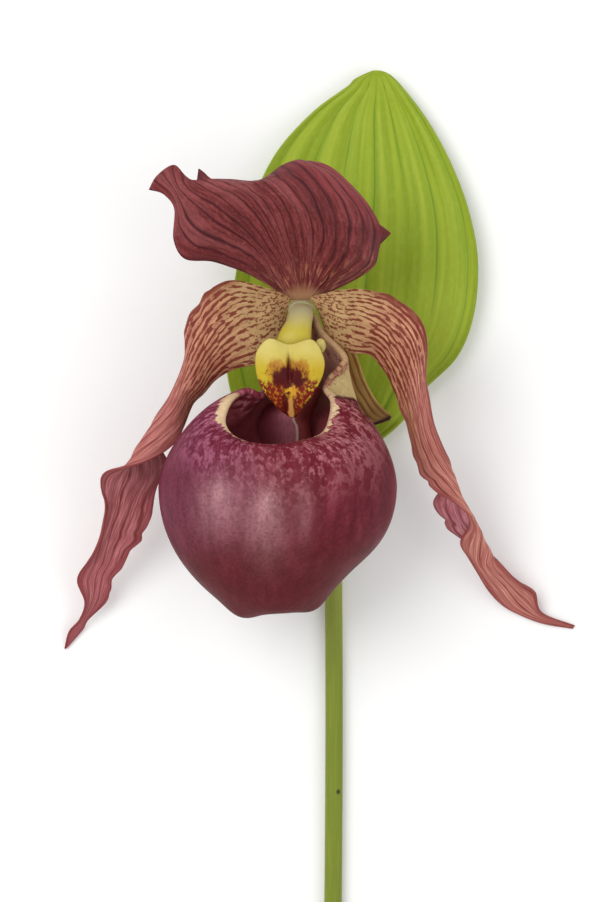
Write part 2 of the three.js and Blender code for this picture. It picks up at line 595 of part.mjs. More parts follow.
const flower = new THREE.Group();
flower.add(
  stem(),
  ovary(),
  bract(),
  dorsalSepal(),
  synsepal(),
  petal('petal_left', LEFT_PETAL_STATIONS, LEFT_PETAL_FRILLS),
  petal('petal_right', RIGHT_PETAL_STATIONS, RIGHT_PETAL_FRILLS),
  lip(),
  lipFold(),
  column(),
  staminode(),
  lobe('anther_left', [-17.8, -13.2, 35.4], ANTHER_HALF_SIZES, 20, 0xc9b765),
  lobe('anther_right', [-5.1, -12.7, 35.6], ANTHER_HALF_SIZES, 20, 0xc9b765),
  lobe('stigma', [-11.4, -17.4, 34.2], [3, 2.3, 0.9], 20, 0xb9a76a),
);

export default flower;
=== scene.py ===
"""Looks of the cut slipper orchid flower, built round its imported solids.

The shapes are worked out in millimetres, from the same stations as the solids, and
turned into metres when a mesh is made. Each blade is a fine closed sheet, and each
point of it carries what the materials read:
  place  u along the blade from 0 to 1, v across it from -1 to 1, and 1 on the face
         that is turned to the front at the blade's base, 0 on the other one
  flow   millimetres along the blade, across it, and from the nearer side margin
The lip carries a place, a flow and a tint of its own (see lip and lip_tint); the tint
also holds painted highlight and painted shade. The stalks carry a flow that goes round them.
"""

import bpy
import numpy as np
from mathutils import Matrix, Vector


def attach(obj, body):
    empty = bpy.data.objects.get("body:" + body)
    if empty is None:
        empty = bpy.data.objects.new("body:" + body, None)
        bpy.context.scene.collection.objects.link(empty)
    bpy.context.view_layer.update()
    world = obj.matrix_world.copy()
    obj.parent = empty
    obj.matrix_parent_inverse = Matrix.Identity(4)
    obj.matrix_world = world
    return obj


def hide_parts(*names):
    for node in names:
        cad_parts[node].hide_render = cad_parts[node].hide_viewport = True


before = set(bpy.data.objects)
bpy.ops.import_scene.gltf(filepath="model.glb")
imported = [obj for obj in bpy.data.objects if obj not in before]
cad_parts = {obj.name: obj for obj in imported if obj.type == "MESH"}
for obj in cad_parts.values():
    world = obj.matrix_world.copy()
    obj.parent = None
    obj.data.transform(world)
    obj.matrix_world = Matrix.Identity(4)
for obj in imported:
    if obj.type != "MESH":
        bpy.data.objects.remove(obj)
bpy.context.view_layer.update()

MM = 0.001

# ---- Shape, in millimetres ----
# The solids have the same values, but for three: here the petals and sepals are thinner,
# and the stem's node lies 0.55 mm and the column's foot 0.8 mm nearer to the ovary.

BLADE_THICKNESS = 0.8
THIN_BLADE = 0.6
LIP_WALL = 1.0
STEM_RADIUS = 2.2
STEM_CUT_END_Y = -163
STEM_NODE_Y = -43.05
STEM_NODE_RADIUS = 2.7
STEM_NODE_LENGTH = 5
STEM_BOW = 0.4
STEM_CENTRE_X = -1.9

# How far apart the valleys between the leaf's pleats lie, as a share of half its width.
PLEAT_SPACING = 0.3
PLEAT_HEIGHT = 0.6
PETAL_RUFFLE_HEIGHT = 0.4
PETAL_RUFFLE_WAVES = 7

# The ovary's centre line, from the stem's node to the back of the bloom, and its radii.
OVARY_CENTRES = [
    [-2.2, -43, 3.9], [-2.6, -35, 4.2], [-3.8, -26, 5.2], [-5.8, -17.5, 7.6],
    [-8, -9.5, 11.2], [-9.6, -4.4, 15.6], [-9.8, -3, 19.6],
]
OVARY_RADII = [1.9, 2.3, 2.8, 2.6, 3.2]
OVARY_RIBS = 6
# How high a rib stands, as a share of the radius.
OVARY_RIB_SHARE = 0.07

# The column's centre line, from its foot to the shield, and its half widths and depths.
COLUMN_CENTRES = [
    [-9.8, -3.6, 20], [-9.8, -3.9, 24.5], [-9.8, -5.1, 29.2], [-10.2, -7.2, 32.9],
    [-11, -10, 34.8], [-11.7, -12.9, 35],
]
COLUMN_HALF_WIDTHS = [2.8, 2.9, 3, 3.1, 3.8, 4.2]
COLUMN_HALF_DEPTHS = [1.8, 1.8, 2, 2.2, 2.3, 2]

POUCH_CENTRE = (-15.3, -46.4, 34)
POUCH_HALF_X = 28.5
POUCH_HALF_Z = 22
POUCH_DEPTH = 31.7
# How much narrower it gets, how that leans to the right, at which angle and how widely.
POUCH_WAIST = (0.07, 0.047, 42, 24)
# The axis of each toe (or dent), how far it stands out, and how widely in degrees.
POUCH_TOES = [
    ((-0.31, -0.95, 0.05), 0.039, 9),
    ((0.34, -0.94, 0.05), 0.024, 7),
    ((0, -1, 0), -0.078, 10),
]
POUCH_SHOULDER_RISE = 8

# Lobes and notches in the petals' margins, on the first and the last rail: where along
# the blade, how far out, and how wide as a share of the blade.
LEFT_PETAL_FRILLS = (
    [(0.185, 0.5, 0.012), (0.205, -0.4, 0.01), (0.235, 0.4, 0.012), (0.262, -0.2, 0.012),
     (0.655, 0.2, 0.012), (0.69, -0.5, 0.009), (0.705, 0.3, 0.008), (0.727, -0.5, 0.01),
     (0.752, 0.2, 0.008), (0.765, 0.45, 0.009), (0.79, -0.3, 0.01), (0.81, 0.4, 0.012)],
    [(0.62, 0.25, 0.012), (0.66, -0.25, 0.014), (0.72, 0.25, 0.014)],
)
RIGHT_PETAL_FRILLS = (
    [(0.14, 0.3, 0.014), (0.17, -0.2, 0.012), (0.628, -0.8, 0.01), (0.66, 0.3, 0.01)],
    [(0.4, 0.3, 0.012), (0.42, -0.3, 0.01), (0.445, 0.3, 0.01), (0.476, -0.6, 0.01)],
)
NO_FRILLS = ([], [])

LEAF_STATIONS = [
    [[-5, -43, 3], [-2, -43, 0.6], [1, -43, 3]],
    [[-12, -38.5, 5], [-0.5, -35, 0.8], [8.5, -36.5, 5]],
    [[-21.5, -32.5, 4], [1.5, -26.5, 0.8], [15.5, -30.5, 5]],
    [[-27, -24, 4], [3, -17.5, 0.8], [20.8, -22.9, 5]],
    [[-28.5, -12.5, 4], [5, -7.5, 0.8], [29.2, -14.4, 5]],
    [[-27, 0, 4.5], [6.5, 2.5, 0.8], [33.3, -4, 5.5]],
    [[-25, 12, 5], [7.5, 13.5, 0.8], [34.3, 9.5, 6]],
    [[-22, 24, 5], [8.5, 25, 0.8], [32, 22, 6]],
    [[-16, 36.5, 4.5], [8.5, 36, 1], [27.5, 34, 5.5]],
    [[-7, 46.5, 4], [8.5, 46, 2], [22.4, 43.4, 5]],
    [[1.5, 52.7, 4], [9, 52, 3.5], [16.8, 51, 5]],
    [[3.6, 54.6, 4.4], [9, 54.8, 4.2], [12.9, 55.2, 4.9]],
    [[8.2, 56.7, 5], [9, 56.8, 5], [9.8, 56.7, 5]],
]

LEFT_PETAL_STATIONS = [
    [[-11.9, -0.5, 24.1], [-12.6, -1.7, 24.6], [-13.6, -6.2, 26.8]],
    [[-18, 1.5, 29], [-17.5, -4, 30], [-14.6, -11, 30.3]],
    [[-25.5, 3, 34], [-24, -5.5, 35], [-19.5, -16.5, 33]],
    [[-30.2, 1.5, 36.5], [-28.5, -9, 37.5], [-25.5, -18.2, 32]],
    [[-33.7, -2, 38], [-32.5, -14.5, 38], [-30.5, -21, 31]],
    [[-36.8, -7.2, 38.5], [-35, -19, 38], [-34, -24.5, 31]],
    [[-36.9, -14, 38], [-37.8, -23.5, 37], [-36, -27.5, 31]],
    [[-40.6, -23.2, 35.5], [-40.5, -28.5, 36], [-37.8, -32, 32.5]],
    [[-44.2, -30.2, 31], [-44.5, -32.5, 34.5], [-40, -36, 33.5]],
    [[-44.5, -35.5, 26.5], [-49, -37, 32], [-44, -39, 34]],
    [[-42.5, -39.5, 22.5], [-50.5, -40.5, 28.5], [-50, -41.5, 33]],
    [[-43, -43, 20], [-51.5, -44.5, 25], [-56.8, -42.7, 30]],
    [[-45.2, -47.5, 18.5], [-53, -48, 22], [-58.2, -46, 26.5]],
    [[-46.3, -53, 17], [-54.5, -52.5, 19], [-56.8, -51, 22.5]],
    [[-48.8, -59.3, 14], [-56.5, -58, 15.5], [-58.7, -59, 18]],
    [[-53.2, -64.8, 10.5], [-58.5, -64, 12], [-62.2, -65, 14]],
    [[-56.7, -70.6, 7.5], [-60.5, -69, 9], [-64.9, -69.7, 10.5]],
    [[-58, -75.2, 4.5], [-61.5, -74.5, 6], [-63.3, -75.2, 7.5]],
    [[-62.8, -79.8, 2.6], [-64, -79.8, 3.4], [-64.8, -79.6, 4.4]],
    [[-64.2, -82.3, 0.9], [-65.8, -82.6, 1.8], [-67.6, -82.9, 2.8]],
    [[-68.1, -86.7, 0.4], [-68.5, -87, 0.4], [-68.9, -87.3, 0.4]],
]

RIGHT_PETAL_STATIONS = [
    [[-7.7, -0.5, 24.1], [-7, -1.4, 24.4], [-5.7, -3.2, 24]],
    [[0.5, 1, 29], [-1, -4.5, 30], [-3, -10, 27]],
    [[7, 0.5, 33.5], [5.5, -6, 35], [2, -14, 28.5]],
    [[13.8, -2, 36], [11, -9, 37], [7, -14.5, 29.5]],
    [[18.8, -7, 37.5], [15, -14.5, 37.5], [11, -20, 30.5]],
    [[20.3, -12.5, 37], [17, -20, 36.5], [13.5, -25.5, 30.5]],
    [[19.8, -21.5, 35], [18.5, -26.5, 34.5], [15.3, -30.5, 29]],
    [[22.1, -31, 32], [20.5, -34, 31.5], [17, -37, 26.5]],
    [[24.9, -38, 29], [23.3, -40.5, 28.5], [19.4, -43, 24]],
    [[26, -44, 23.5], [27.3, -45.7, 26.5], [21.5, -46.5, 25.5]],
    [[22.7, -49.8, 18], [30.1, -51, 23], [26, -49.5, 26.5]],
    [[24, -53.5, 15.5], [31.7, -54.7, 20], [30.2, -52.5, 24]],
    [[27.1, -57.5, 13], [34, -58, 16.5], [31, -56, 20.5]],
    [[35.2, -62.4, 10.8], [36.1, -62, 13.5], [29.1, -60, 16.5]],
    [[39.6, -65.8, 9.5], [36, -66, 11.5], [32, -65, 12]],
    [[44.4, -70.3, 8], [40.5, -71, 6.5], [36.7, -72.5, 6]],
    [[48.4, -72.7, 5.5], [45, -76, 3], [41.7, -77, 2]],
    [[50.3, -78, 2.5], [50.2, -79.4, 1.5], [49.6, -80.6, 1]],
    [[58.7, -81.3, 0.4], [58.4, -81.8, 0.4], [58.1, -82.2, 0.4]],
]

SYNSEPAL_STATIONS = [
    [[-11, -6.2, 21.6], [-9.5, -6.2, 21.4], [-8, -6.2, 21.6]],
    [[-9, -12, 18.5], [-3.5, -12, 17.5], [2, -11.5, 19.5]],
    [[-9.5, -20.5, 15.5], [-1.5, -20.5, 14], [6, -20.5, 16]],
    [[-6.5, -28, 12.5], [1.5, -27, 11.5], [8.7, -25.2, 13.3]],
    [[-1.5, -33, 11.5], [5, -31, 11], [11.2, -27.9, 12.3]],
    [[12, -30.2, 11.5], [12.3, -29.8, 11.5], [12.5, -29.3, 11.5]],
]

DORSAL_SEPAL_RAILS = [
    [[-12.4, -1.1, 22.4], [-18, 2.5, 25.5], [-24, 5.5, 28.5], [-31, 7.5, 32.5], [-37.5, 8, 36.5],
     [-40, 12.5, 40], [-39.5, 19, 42.5], [-42, 22.5, 45], [-45.5, 23.5, 47]],
    [[-11.9, -1.1, 22.4], [-17, 3.5, 27.5], [-21.5, 8, 32], [-28, 11, 36], [-33.5, 13, 39.5],
     [-37, 16.5, 42], [-38.5, 20.5, 44], [-40, 23.5, 45.5], [-43.5, 27, 46]],
    [[-11.4, -1.1, 22.4], [-15.5, 4.5, 29], [-19.5, 10, 34], [-24.5, 14, 38.5], [-29, 17, 42],
     [-33, 20, 44], [-36.5, 22.5, 45], [-38.5, 25, 45.5], [-39.5, 29.5, 45]],
    [[-10.9, -1.1, 22.4], [-14, 5.5, 30], [-17.5, 11, 35.5], [-21, 15.5, 40], [-25, 19, 43.5],
     [-29, 22, 45.5], [-32, 23.5, 46], [-34.5, 25, 46], [-36, 26, 45.5]],
    [[-10.4, -1.1, 22.4], [-13, 6, 30.5], [-15.5, 12, 36.5], [-18, 16.5, 41.5], [-21, 20.5, 45],
     [-24, 23, 46.8], [-27.5, 24.5, 47], [-30, 25.5, 46.5], [-32, 26, 45.5]],
    [[-9.9, -1.1, 22.4], [-11.5, 6.5, 31], [-13.5, 12, 37.5], [-15.5, 17, 42.5], [-18, 21, 46],
     [-20.5, 23, 47.5], [-22.5, 24.5, 47.5], [-24.5, 25, 46.5], [-26.5, 26, 45]],
    [[-9.4, -1.1, 22.4], [-10, 6.5, 31.5], [-11, 12, 38], [-12.5, 17.5, 43], [-14.5, 21, 46.3],
     [-17, 23.5, 47.5], [-19, 25, 47.3], [-20, 25.5, 46], [-20.5, 25.5, 44.5]],
    [[-8.9, -1.1, 22.4], [-8.5, 6.5, 31.5], [-8, 12, 38], [-9, 17, 43], [-11, 21, 46],
     [-13.5, 24, 47], [-15.5, 25.5, 46.5], [-17, 26.5, 45], [-17.5, 27, 43]],
    [[-8.4, -1.1, 22.4], [-6, 6, 31], [-4.5, 11.5, 37.5], [-4.5, 16.5, 42], [-6.5, 21.5, 45],
     [-9, 25, 46], [-11.5, 27, 45.3], [-13, 28.5, 43.5], [-14.5, 29.5, 41.5]],
    [[-7.9, -1.1, 22.4], [-3.5, 4.5, 30], [0, 9.5, 36], [1, 15, 40.5], [-0.5, 20.5, 43],
     [-4, 25, 44], [-6.5, 28, 43.5], [-9, 30, 42], [-11, 31, 40]],
    [[-7.4, -1.1, 22.4], [-1, 3.5, 27.5], [4.5, 7.5, 32], [6, 13, 36.5], [5, 18.5, 39.5],
     [1.5, 23.5, 41], [-2.5, 27.5, 41], [-6.5, 29.5, 40], [-9, 31, 38.5]],
    [[-6.9, -1.1, 22.4], [1, 2.5, 24.8], [7.5, 6.5, 27.5], [9, 11, 31], [9, 16, 34.5],
     [6, 21, 37], [0.5, 27, 38], [-3.5, 30, 38], [-7.5, 31, 37.5]],
]

# Points that stand out of the sepal's edge: u, how far each fades before and after it,
# v, the same for it, and which way the edge is drawn out. The first is the dark spike.
SEPAL_SPIKE_V = -0.318
SEPAL_POINTS = [
    (1, (0.06, 0.06), SEPAL_SPIKE_V, (0.05, 0.07), (-0.7, 2.9, 0.6)),
    (0.45, (0.055, 0.05), 1, (0.09, 0.09), (2.5, 0.3, 0.2)),
]

LIP_FOLD_STATIONS = [
    [[-12, -22.5, 20.8], [-7, -22, 27.5], [-4.8, -23.2, 23.6]],
    [[-16, -25.5, 19.3], [-9.3, -26.3, 27.5], [-6.5, -26.6, 20.2]],
    [[-19, -28.5, 18.9], [-11.6, -29.4, 26], [-7.8, -29.6, 18.3]],
    [[-20, -32, 18], [-10.8, -31.8, 23.7], [-7.8, -32.4, 17.6]],
    [[-19, -36, 16.4], [-10.7, -35.5, 19.5], [-7.6, -35.8, 17]],
    [[-16.5, -39.2, 15.4], [-10.6, -39.4, 15.9], [-8, -39, 16.1]],
]

# Each row is the angle round the pouch, the rim's point, and the way the wall comes to it.
LIP_RIM = [
    (0, (-2, -26, 39), (8, 1, -1)),
    (30, (-4, -33, 46), (6.5, 1, 3)),
    (60, (-9.5, -35.5, 49.5), (3, 1, 5)),
    (90, (-17, -36.5, 50.5), (0, 1, 5)),
    (120, (-24.5, -35, 48.5), (-3, 1, 5)),
    (150, (-28, -31, 45), (-6, 1, 3)),
    (180, (-26.5, -25.5, 41), (-6, 1, 0)),
    (200, (-22.8, -23, 38), (-6, -1, -3)),
    (220, (-18.3, -23.2, 34), (-3, -4, -5)),
    (243, (-14.3, -9.5, 28), (-0.5, -9, -5)),
    (257, (-13, -5.4, 25.5), (-0.5, -9, -6)),
    (270, (-9.8, -7.8, 24.8), (0, -9, -6)),
    (283, (-6.4, -5, 25.8), (0.5, -9, -6)),
    (297, (-4.5, -9, 28.5), (0.5, -9, -5)),
    (315, (1, -15, 33), (1, -8, -6)),
    (330, (0, -18, 34), (3.5, -6, -6)),
    (345, (-3.5, -22, 34.5), (6, -4, -5)),
]

# The heart-shaped shield, clockwise from its notch. The eighth point is its tip.
SHIELD_OUTLINE = [
    (-12.6, -12.6), (-17.2, -11.2), (-20.1, -14.2), (-20.4, -17.8), (-19.5, -21.6),
    (-17.8, -24.4), (-14.8, -27.7), (-11.5, -29.7), (-9.2, -27), (-6.5, -23.3),
    (-4.6, -19.2), (-4.6, -15.4), (-7.2, -11.5),
]
SHIELD_MIDDLE = (-12.4, -19)
SHIELD_TOP_Z = 38.4
SHIELD_TIP_Z = 37.2
SHIELD_EDGE = 0.8
SHIELD_CROWN = 2.2
SHIELD_BACK = 0.5

# How far the anthers and the stigma are tipped, in degrees.
LOBE_TIP = 20
ANTHER_HALF_SIZES = (1.3, 1.8, 1.2)
ANTHERS = [("left", (-17.8, -13.2, 35.4)), ("right", (-5.1, -12.7, 35.6))]
STIGMA_HALF_SIZES = (3, 2.3, 0.9)
STIGMA_MIDDLE = (-11.4, -17.4, 34.2)

# The filaments that join the anthers to the column. The solids have none.
FILAMENT_HALF_SIZES = (1.4, 0.6, 0.6)
FILAMENTS = [("left", (-15.9, -12.8, 35.3)), ("right", (-7, -12.8, 35.3))]

# What else only the scene has: veins, ripples, the stem's ribs, the rim's bead, the
# anthers' crease, the shield's groove and the spread of the column's foot.
LEAF_VEIN_HEIGHT = 0.04
PETAL_VEIN_HEIGHT = 0.07
PETAL_CRIMP_HEIGHT = 0.3
SEPAL_VEIN_HEIGHT = 0.09
SYNSEPAL_VEIN_HEIGHT = 0.08
RIPPLE_HEIGHT = 0.12
STEM_RIBS = 16
STEM_RIB_SHARE = 0.012
LIP_BEAD = 0.3
CREASE_SHARE = 0.18
CREASE_WIDTH = 0.16
SHIELD_GROOVE_DEPTH = 0.9
SHIELD_GROOVE_WIDTH = 0.7
# How much of its depth it has at the shield's edge, and between which y it fades out.
SHIELD_GROOVE_EDGE_SHARE = 0.25
SHIELD_GROOVE_FADE = (-25, -20)
# The foot's spread to each side, its spread to front and back, and over what height.
COLUMN_FOOT_WIDE = 0.2
COLUMN_FOOT_DEEP = 0.55
COLUMN_FOOT_HEIGHT = 2.2

# ---- Looks ----

# How many veins, or rows of marks, lie across each blade.
PETAL_VEINS = 5
PETAL_ROWS = 13
SEPAL_VEINS = 18
LEAF_FINE_VEINS = 8
SYNSEPAL_VEINS = 9

# The lip's pattern lies on a drum of this radius. Inside, it is taken from further along.
LIP_FLOW_RADIUS = 20
LIP_INSIDE_SHIFT = 80

# Width of the rim's cream band at angles round the pouch.
RIM_BAND = [
    (0, 0.5), (30, 0.4), (60, 0.1), (100, 0.1), (130, 0.4), (150, 1.8), (180, 2.1), (186, 0.8),
    (194, -2), (250, -2), (270, 0.8), (300, 1.4), (330, 1.2), (360, 0.5),
]

# The line on the lip's outside where the cream claw starts, as points (x, y) from left to
# right, and how many millimetres the change takes.
LIP_CLAW_LINE = [
    (-45, -20), (-12, -20), (-3.4, -24.3), (2.9, -25.1), (6, -27.7), (9.5, -30.8), (16, -33),
]
LIP_CLAW_RAMP = 4

# Painted highlights on the pouch, pale patches that stand in for its gloss: middle (x, y), half
# width, half height, strength.
LIP_PAINTED_HIGHLIGHTS = [
    ((-29, -50), 6, 8, 0.4), ((-18, -53), 5, 9, 0.45), ((-28.5, -46.5), 2.2, 2.4, 0.4),
    ((-17, -49), 2.4, 3, 0.4), ((-9, -50), 2, 8, 0.25),
]

# How high above the floor the ovary has turned cream.
OVARY_PALE_END = 16

# From here on in metres: a small dark scar on the stem, and how far light goes inside.
STEM_SCAR = (-0.0004, -0.1225, 0.0042)
LIGHT_REACH = 0.0012

# ---- Camera, lights and floor, in metres ----

PHOTO_CENTRE = (-0.010, -0.03775)
CAMERA_HEIGHT = 0.7516
CAMERA_LENS = 120
SENSOR = 36
WORLD_STRENGTH = 0.79
LAMP_TARGET = (-0.01, -0.04, 0.03)
# The name, the place, the diameter and the power of each lamp.
LAMPS = [("key", (-0.5, 0.25, 1), 0.7, 5.6), ("fill", (0.7, -0.3, 0.9), 0.9, 1.6)]
FLOOR_SIZE = 8
# The floor lies this far under the flower, so that they share no plane.
FLOOR_DROP = 0.00005


# ---- Curves and surfaces ----

def spline(points, at, closed=False):
    """The even Catmull-Rom curve through points (n, ...) at parameters from 0 to 1."""
    points = np.asarray(points, float)
    count = len(points)
    if closed:
        position = np.asarray(at, float) * count
        start = np.floor(position).astype(int)
        a, b, c, d = [points[(start + k) % count] for k in (-1, 0, 1, 2)]
    else:
        ends = [2 * points[0] - points[1]], [2 * points[-1] - points[-2]]
        padded = np.concatenate([ends[0], points, ends[1]])
        position = np.asarray(at, float) * (count - 1)
        start = np.clip(np.floor(position).astype(int), 0, count - 2)
        a, b, c, d = [padded[start + k] for k in range(4)]
    w = (position - start).reshape((-1,) + (1,) * (points.ndim - 1))
    return 0.5 * (2 * b + (c - a) * w + (2 * a - 5 * b + 4 * c - d) * w ** 2
                  + (3 * b - a - 3 * c + d) * w ** 3)


def bell(distance, width):
    """1 at no distance, and evenly less on both sides of it."""
    return np.exp(-(distance / width) ** 2)


def turns(count):
    """Even angles all the way round."""
    return np.linspace(0, 2 * np.pi, count, endpoint=False)


def together(*values):
    """Arrays spread to one size, as the last axis of a new one."""
    return np.stack(np.broadcast_arrays(*values), axis=-1)


def frill_at(frills, u):
    """How far a margin stands out at every u."""
    return sum((out * bell(u - at, width) for at, out, width in frills), 0 * u)


def three_rails(stations, u, v, frills=NO_FRILLS):
    """Points of the surface through three rails, for every u and every v."""
    rails = spline(stations, u)
    middle = rails[:, 1]
    for side, lobes in zip((0, 2), frills):
        rails[:, side] += unit(rails[:, side] - middle) * frill_at(lobes, u)[:, None]
    weights = np.stack([v * (v - 1) / 2, 1 - v * v, v * (v + 1) / 2])
    return np.einsum("kv,ukc->uvc", weights, rails)


def many_rails(rows, u, v):
    """Points of the surface through any number of rails, for every u and every v."""
    rails = spline(np.swapaxes(np.asarray(rows, float), 0, 1), u)
    across = spline(np.swapaxes(rails, 0, 1), (v + 1) / 2)
    return np.swapaxes(across, 0, 1)


def drawn_out(points, u, v):
    """The sepal's grid with its edge drawn out to points."""
    def share(distance, fade):
        return np.maximum(0, 1 - np.abs(distance) / np.where(distance < 0, *fade))

    for at_u, fade_u, at_v, fade_v, pull in SEPAL_POINTS:
        weight = share(u - at_u, fade_u)[:, None] * share(v - at_v, fade_v)
        points = points + weight[..., None] * np.array(pull)
    return points


def unit(vectors):
    return vectors / np.maximum(np.linalg.norm(vectors, axis=-1, keepdims=True), 1e-9)


def normals(points):
    """The way each point of a grid faces: across it, turned towards its far end."""
    return unit(np.cross(np.gradient(points, axis=1), np.gradient(points, axis=0)))


def raised(points, relief):
    return points + normals(points) * relief[..., None]


def arc(points, axis):
    """Millimetres along one axis of a grid of points."""
    steps = np.linalg.norm(np.diff(points, axis=axis), axis=-1)
    pad = [(0, 0), (0, 0)]
    pad[axis] = (1, 0)
    return np.pad(np.cumsum(steps, axis=axis), pad)


def smooth(value, low, high):
    """Goes smoothly from 0 at low to 1 at high."""
    share = np.clip((value - low) / (high - low), 0, 1)
    return share * share * (3 - 2 * share)


# ---- Meshes ----

def quads(index):
    """The faces of a grid of vertex numbers."""
    corners = index[:-1, :-1], index[:-1, 1:], index[1:, 1:], index[1:, :-1]
    return np.stack(corners, axis=-1).reshape(-1, 4)


def placed(name, data):
    """A new object of the scene."""
    thing = bpy.data.objects.new(name, data)
    bpy.context.scene.collection.objects.link(thing)
    return thing


def mesh_object(name, node, material, vertices, faces, fields):
    """A piece of the flower, in place of one of the solids."""
    mesh = bpy.data.meshes.new(name)
    mesh.from_pydata((vertices * MM).tolist(), [], [face.tolist() for face in faces])
    for field, values in fields.items():
        layer = mesh.attributes.new(field, "FLOAT_VECTOR", "POINT")
        layer.data.foreach_set("vector", np.asarray(values, np.float32).ravel())
    mesh.shade_smooth()
    mesh.materials.append(material)
    piece = placed(name, mesh)
    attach(piece, "root")
    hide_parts(node)
    return piece


def sheet(name, node, material, middle, u, v, thickness, top_face=1):
    """A closed blade of a thickness round a grid of points, with round margins."""
    along = arc(middle, 0)
    across = arc(middle, 1)
    width = across[:, -1:]
    half = thickness / 2
    margin = np.minimum(across, width - across)
    end = np.minimum(along, along[-1:] - along)
    inward = np.clip(np.minimum(margin, end) / half, 0, 1)
    offset = normals(middle) * (half * np.sqrt(1 - (1 - inward) ** 2))[..., None]
    top = middle + offset
    under = middle - offset
    rows, columns = middle.shape[:2]
    above = np.arange(rows * columns).reshape(rows, columns)
    below = above.copy()
    below[1:-1, 1:-1] = rows * columns + np.arange((rows - 2) * (columns - 2)).reshape(
        rows - 2, columns - 2)

    def both(values):
        return np.concatenate([values.reshape(-1, 3), values[1:-1, 1:-1].reshape(-1, 3)])

    place = both(together(u[:, None], v, top_face))
    place[rows * columns:, 2] = 1 - top_face
    flow = both(together(along, across - width / 2, margin))
    vertices = np.concatenate([top.reshape(-1, 3), under[1:-1, 1:-1].reshape(-1, 3)])
    vertices[:, 2] = np.maximum(vertices[:, 2], 0)
    faces = np.concatenate([quads(above), quads(below)[:, ::-1]])
    fields = {"place": place, "flow": flow}
    return mesh_object(name, node, material, vertices, faces, fields)


def tube(name, node, material, rings, fields, first=None, last=None):
    """A closed body through rings of points (rows, around), with a point at each end."""
    rows, around = rings.shape[:2]
    first = rings[0].mean(0) if first is None else first
    last = rings[-1].mean(0) if last is None else last
    index = np.arange(rows * around).reshape(rows, around)
    index = np.concatenate([index, index[:, :1]], axis=1)
    caps = []
    for ring, pole, order in ((index[0], rows * around, -1), (index[-1], rows * around + 1, 1)):
        ends = np.stack([ring[:-1], ring[1:], np.full(around, pole)], axis=-1)
        caps.append(ends[:, ::order])
    vertices = np.concatenate([rings.reshape(-1, 3), [first, last]])
    ended = {}
    for field, values in fields.items():
        ends = [values[0].mean(0), values[-1].mean(0)]
        ended[field] = np.concatenate([values.reshape(-1, 3), ends])
    faces = [*quads(index), *caps[0], *caps[1]]
    return mesh_object(name, node, material, vertices, faces, ended)


def loft(centres, wide, deep, around):
    """Rings round a curve, from its half sizes across and outward."""
    tangents = unit(np.gradient(centres, axis=0))
    outward = unit(np.cross([1.0, 0.0, 0.0], tangents))
    across = unit(np.cross(tangents, outward))
    turn = turns(around)
    return (centres[:, None] + across[:, None] * (wide * np.cos(turn))[..., None]
            + outward[:, None] * (deep * np.sin(turn))[..., None])


# ---- Materials ----

def colour(red, green, blue):
    """A colour given as it shows on a screen, 0 to 255 each."""
    shown = np.array([red, green, blue]) / 255
    linear = np.where(shown <= 0.04045, shown / 12.92, ((shown + 0.055) / 1.055) ** 2.4)
    return (*linear.tolist(), 1.0)


def operator(operation, swapped=False):
    """The method of Value that does one operation."""
    def operate(value, other=0):
        pair = (other, value) if swapped else (value, other)
        return value.graph.math(operation, *pair)

    return operate


class Value:
    """An output of a node. Each sum with it is a new node of the same material."""

    def __init__(self, graph, socket):
        self.graph = graph
        self.socket = socket

    __add__ = operator("ADD")
    __sub__ = operator("SUBTRACT")
    __rsub__ = operator("SUBTRACT", swapped=True)
    __mul__ = operator("MULTIPLY")
    __abs__ = operator("ABSOLUTE")


class Graph:
    """The nodes of one material."""

    def __init__(self, name):
        self.material = bpy.data.materials.new(name)
        self.material.use_nodes = True
        self.tree = self.material.node_tree
        self.tree.nodes.clear()

    def node(self, kind, inputs, **settings):
        node = self.tree.nodes.new(kind)
        for key, value in settings.items():
            setattr(node, key, value)
        for key, value in inputs.items():
            if isinstance(value, Value):
                self.tree.links.new(value.socket, node.inputs[key])
            else:
                node.inputs[key].default_value = value
        return node

    def value(self, kind, inputs, output=0, **settings):
        """One output of a new node."""
        return Value(self, self.node(kind, inputs, **settings).outputs[output])

    def math(self, operation, first, second=0, third=0):
        inputs = {0: first, 1: second, 2: third}
        return self.value("ShaderNodeMath", inputs, operation=operation)

    def field(self, name):
        """What the points of a mesh carry under a name."""
        return self.value("ShaderNodeAttribute", {}, "Vector", attribute_name=name)

    def position(self):
        """Where a point is at rest, in metres."""
        return self.value("ShaderNodeTexCoord", {}, "Object")

    def finish(self, base, roughness, normal=None, soft=0, gloss=0.1):
        """The finished material. Soft is how much light passes under its surface."""
        inputs = {
            "Base Color": base, "Roughness": roughness, "Specular IOR Level": gloss,
            "Subsurface Weight": soft, "Subsurface Radius": (1, 0.5, 0.3),
            "Subsurface Scale": LIGHT_REACH,
        }
        if normal:
            inputs["Normal"] = normal
        shader = self.value("ShaderNodeBsdfPrincipled", inputs)
        self.node("ShaderNodeOutputMaterial", {"Surface": shader})
        return self.material


def parts(vector):
    """The three parts of a vector."""
    node = vector.graph.node("ShaderNodeSeparateXYZ", {0: vector})
    return [Value(vector.graph, socket) for socket in node.outputs]


def join(first, second, third=0):
    """A vector of three parts."""
    return first.graph.value("ShaderNodeCombineXYZ", {0: first, 1: second, 2: third})


def most(*values):
    """The largest of the values."""
    largest = values[0]
    for value in values[1:]:
        largest = value.graph.math("MAXIMUM", largest, value)
    return largest


def rise(value, low, high):
    """Goes up smoothly, from 0 at low to 1 at high."""
    inputs = {"Value": value, "From Min": low, "From Max": high}
    return value.graph.value("ShaderNodeMapRange", inputs, interpolation_type="SMOOTHSTEP")


def fall(value, low, high):
    """Goes down smoothly, from 1 at low to 0 at high."""
    return 1 - rise(value, low, high)


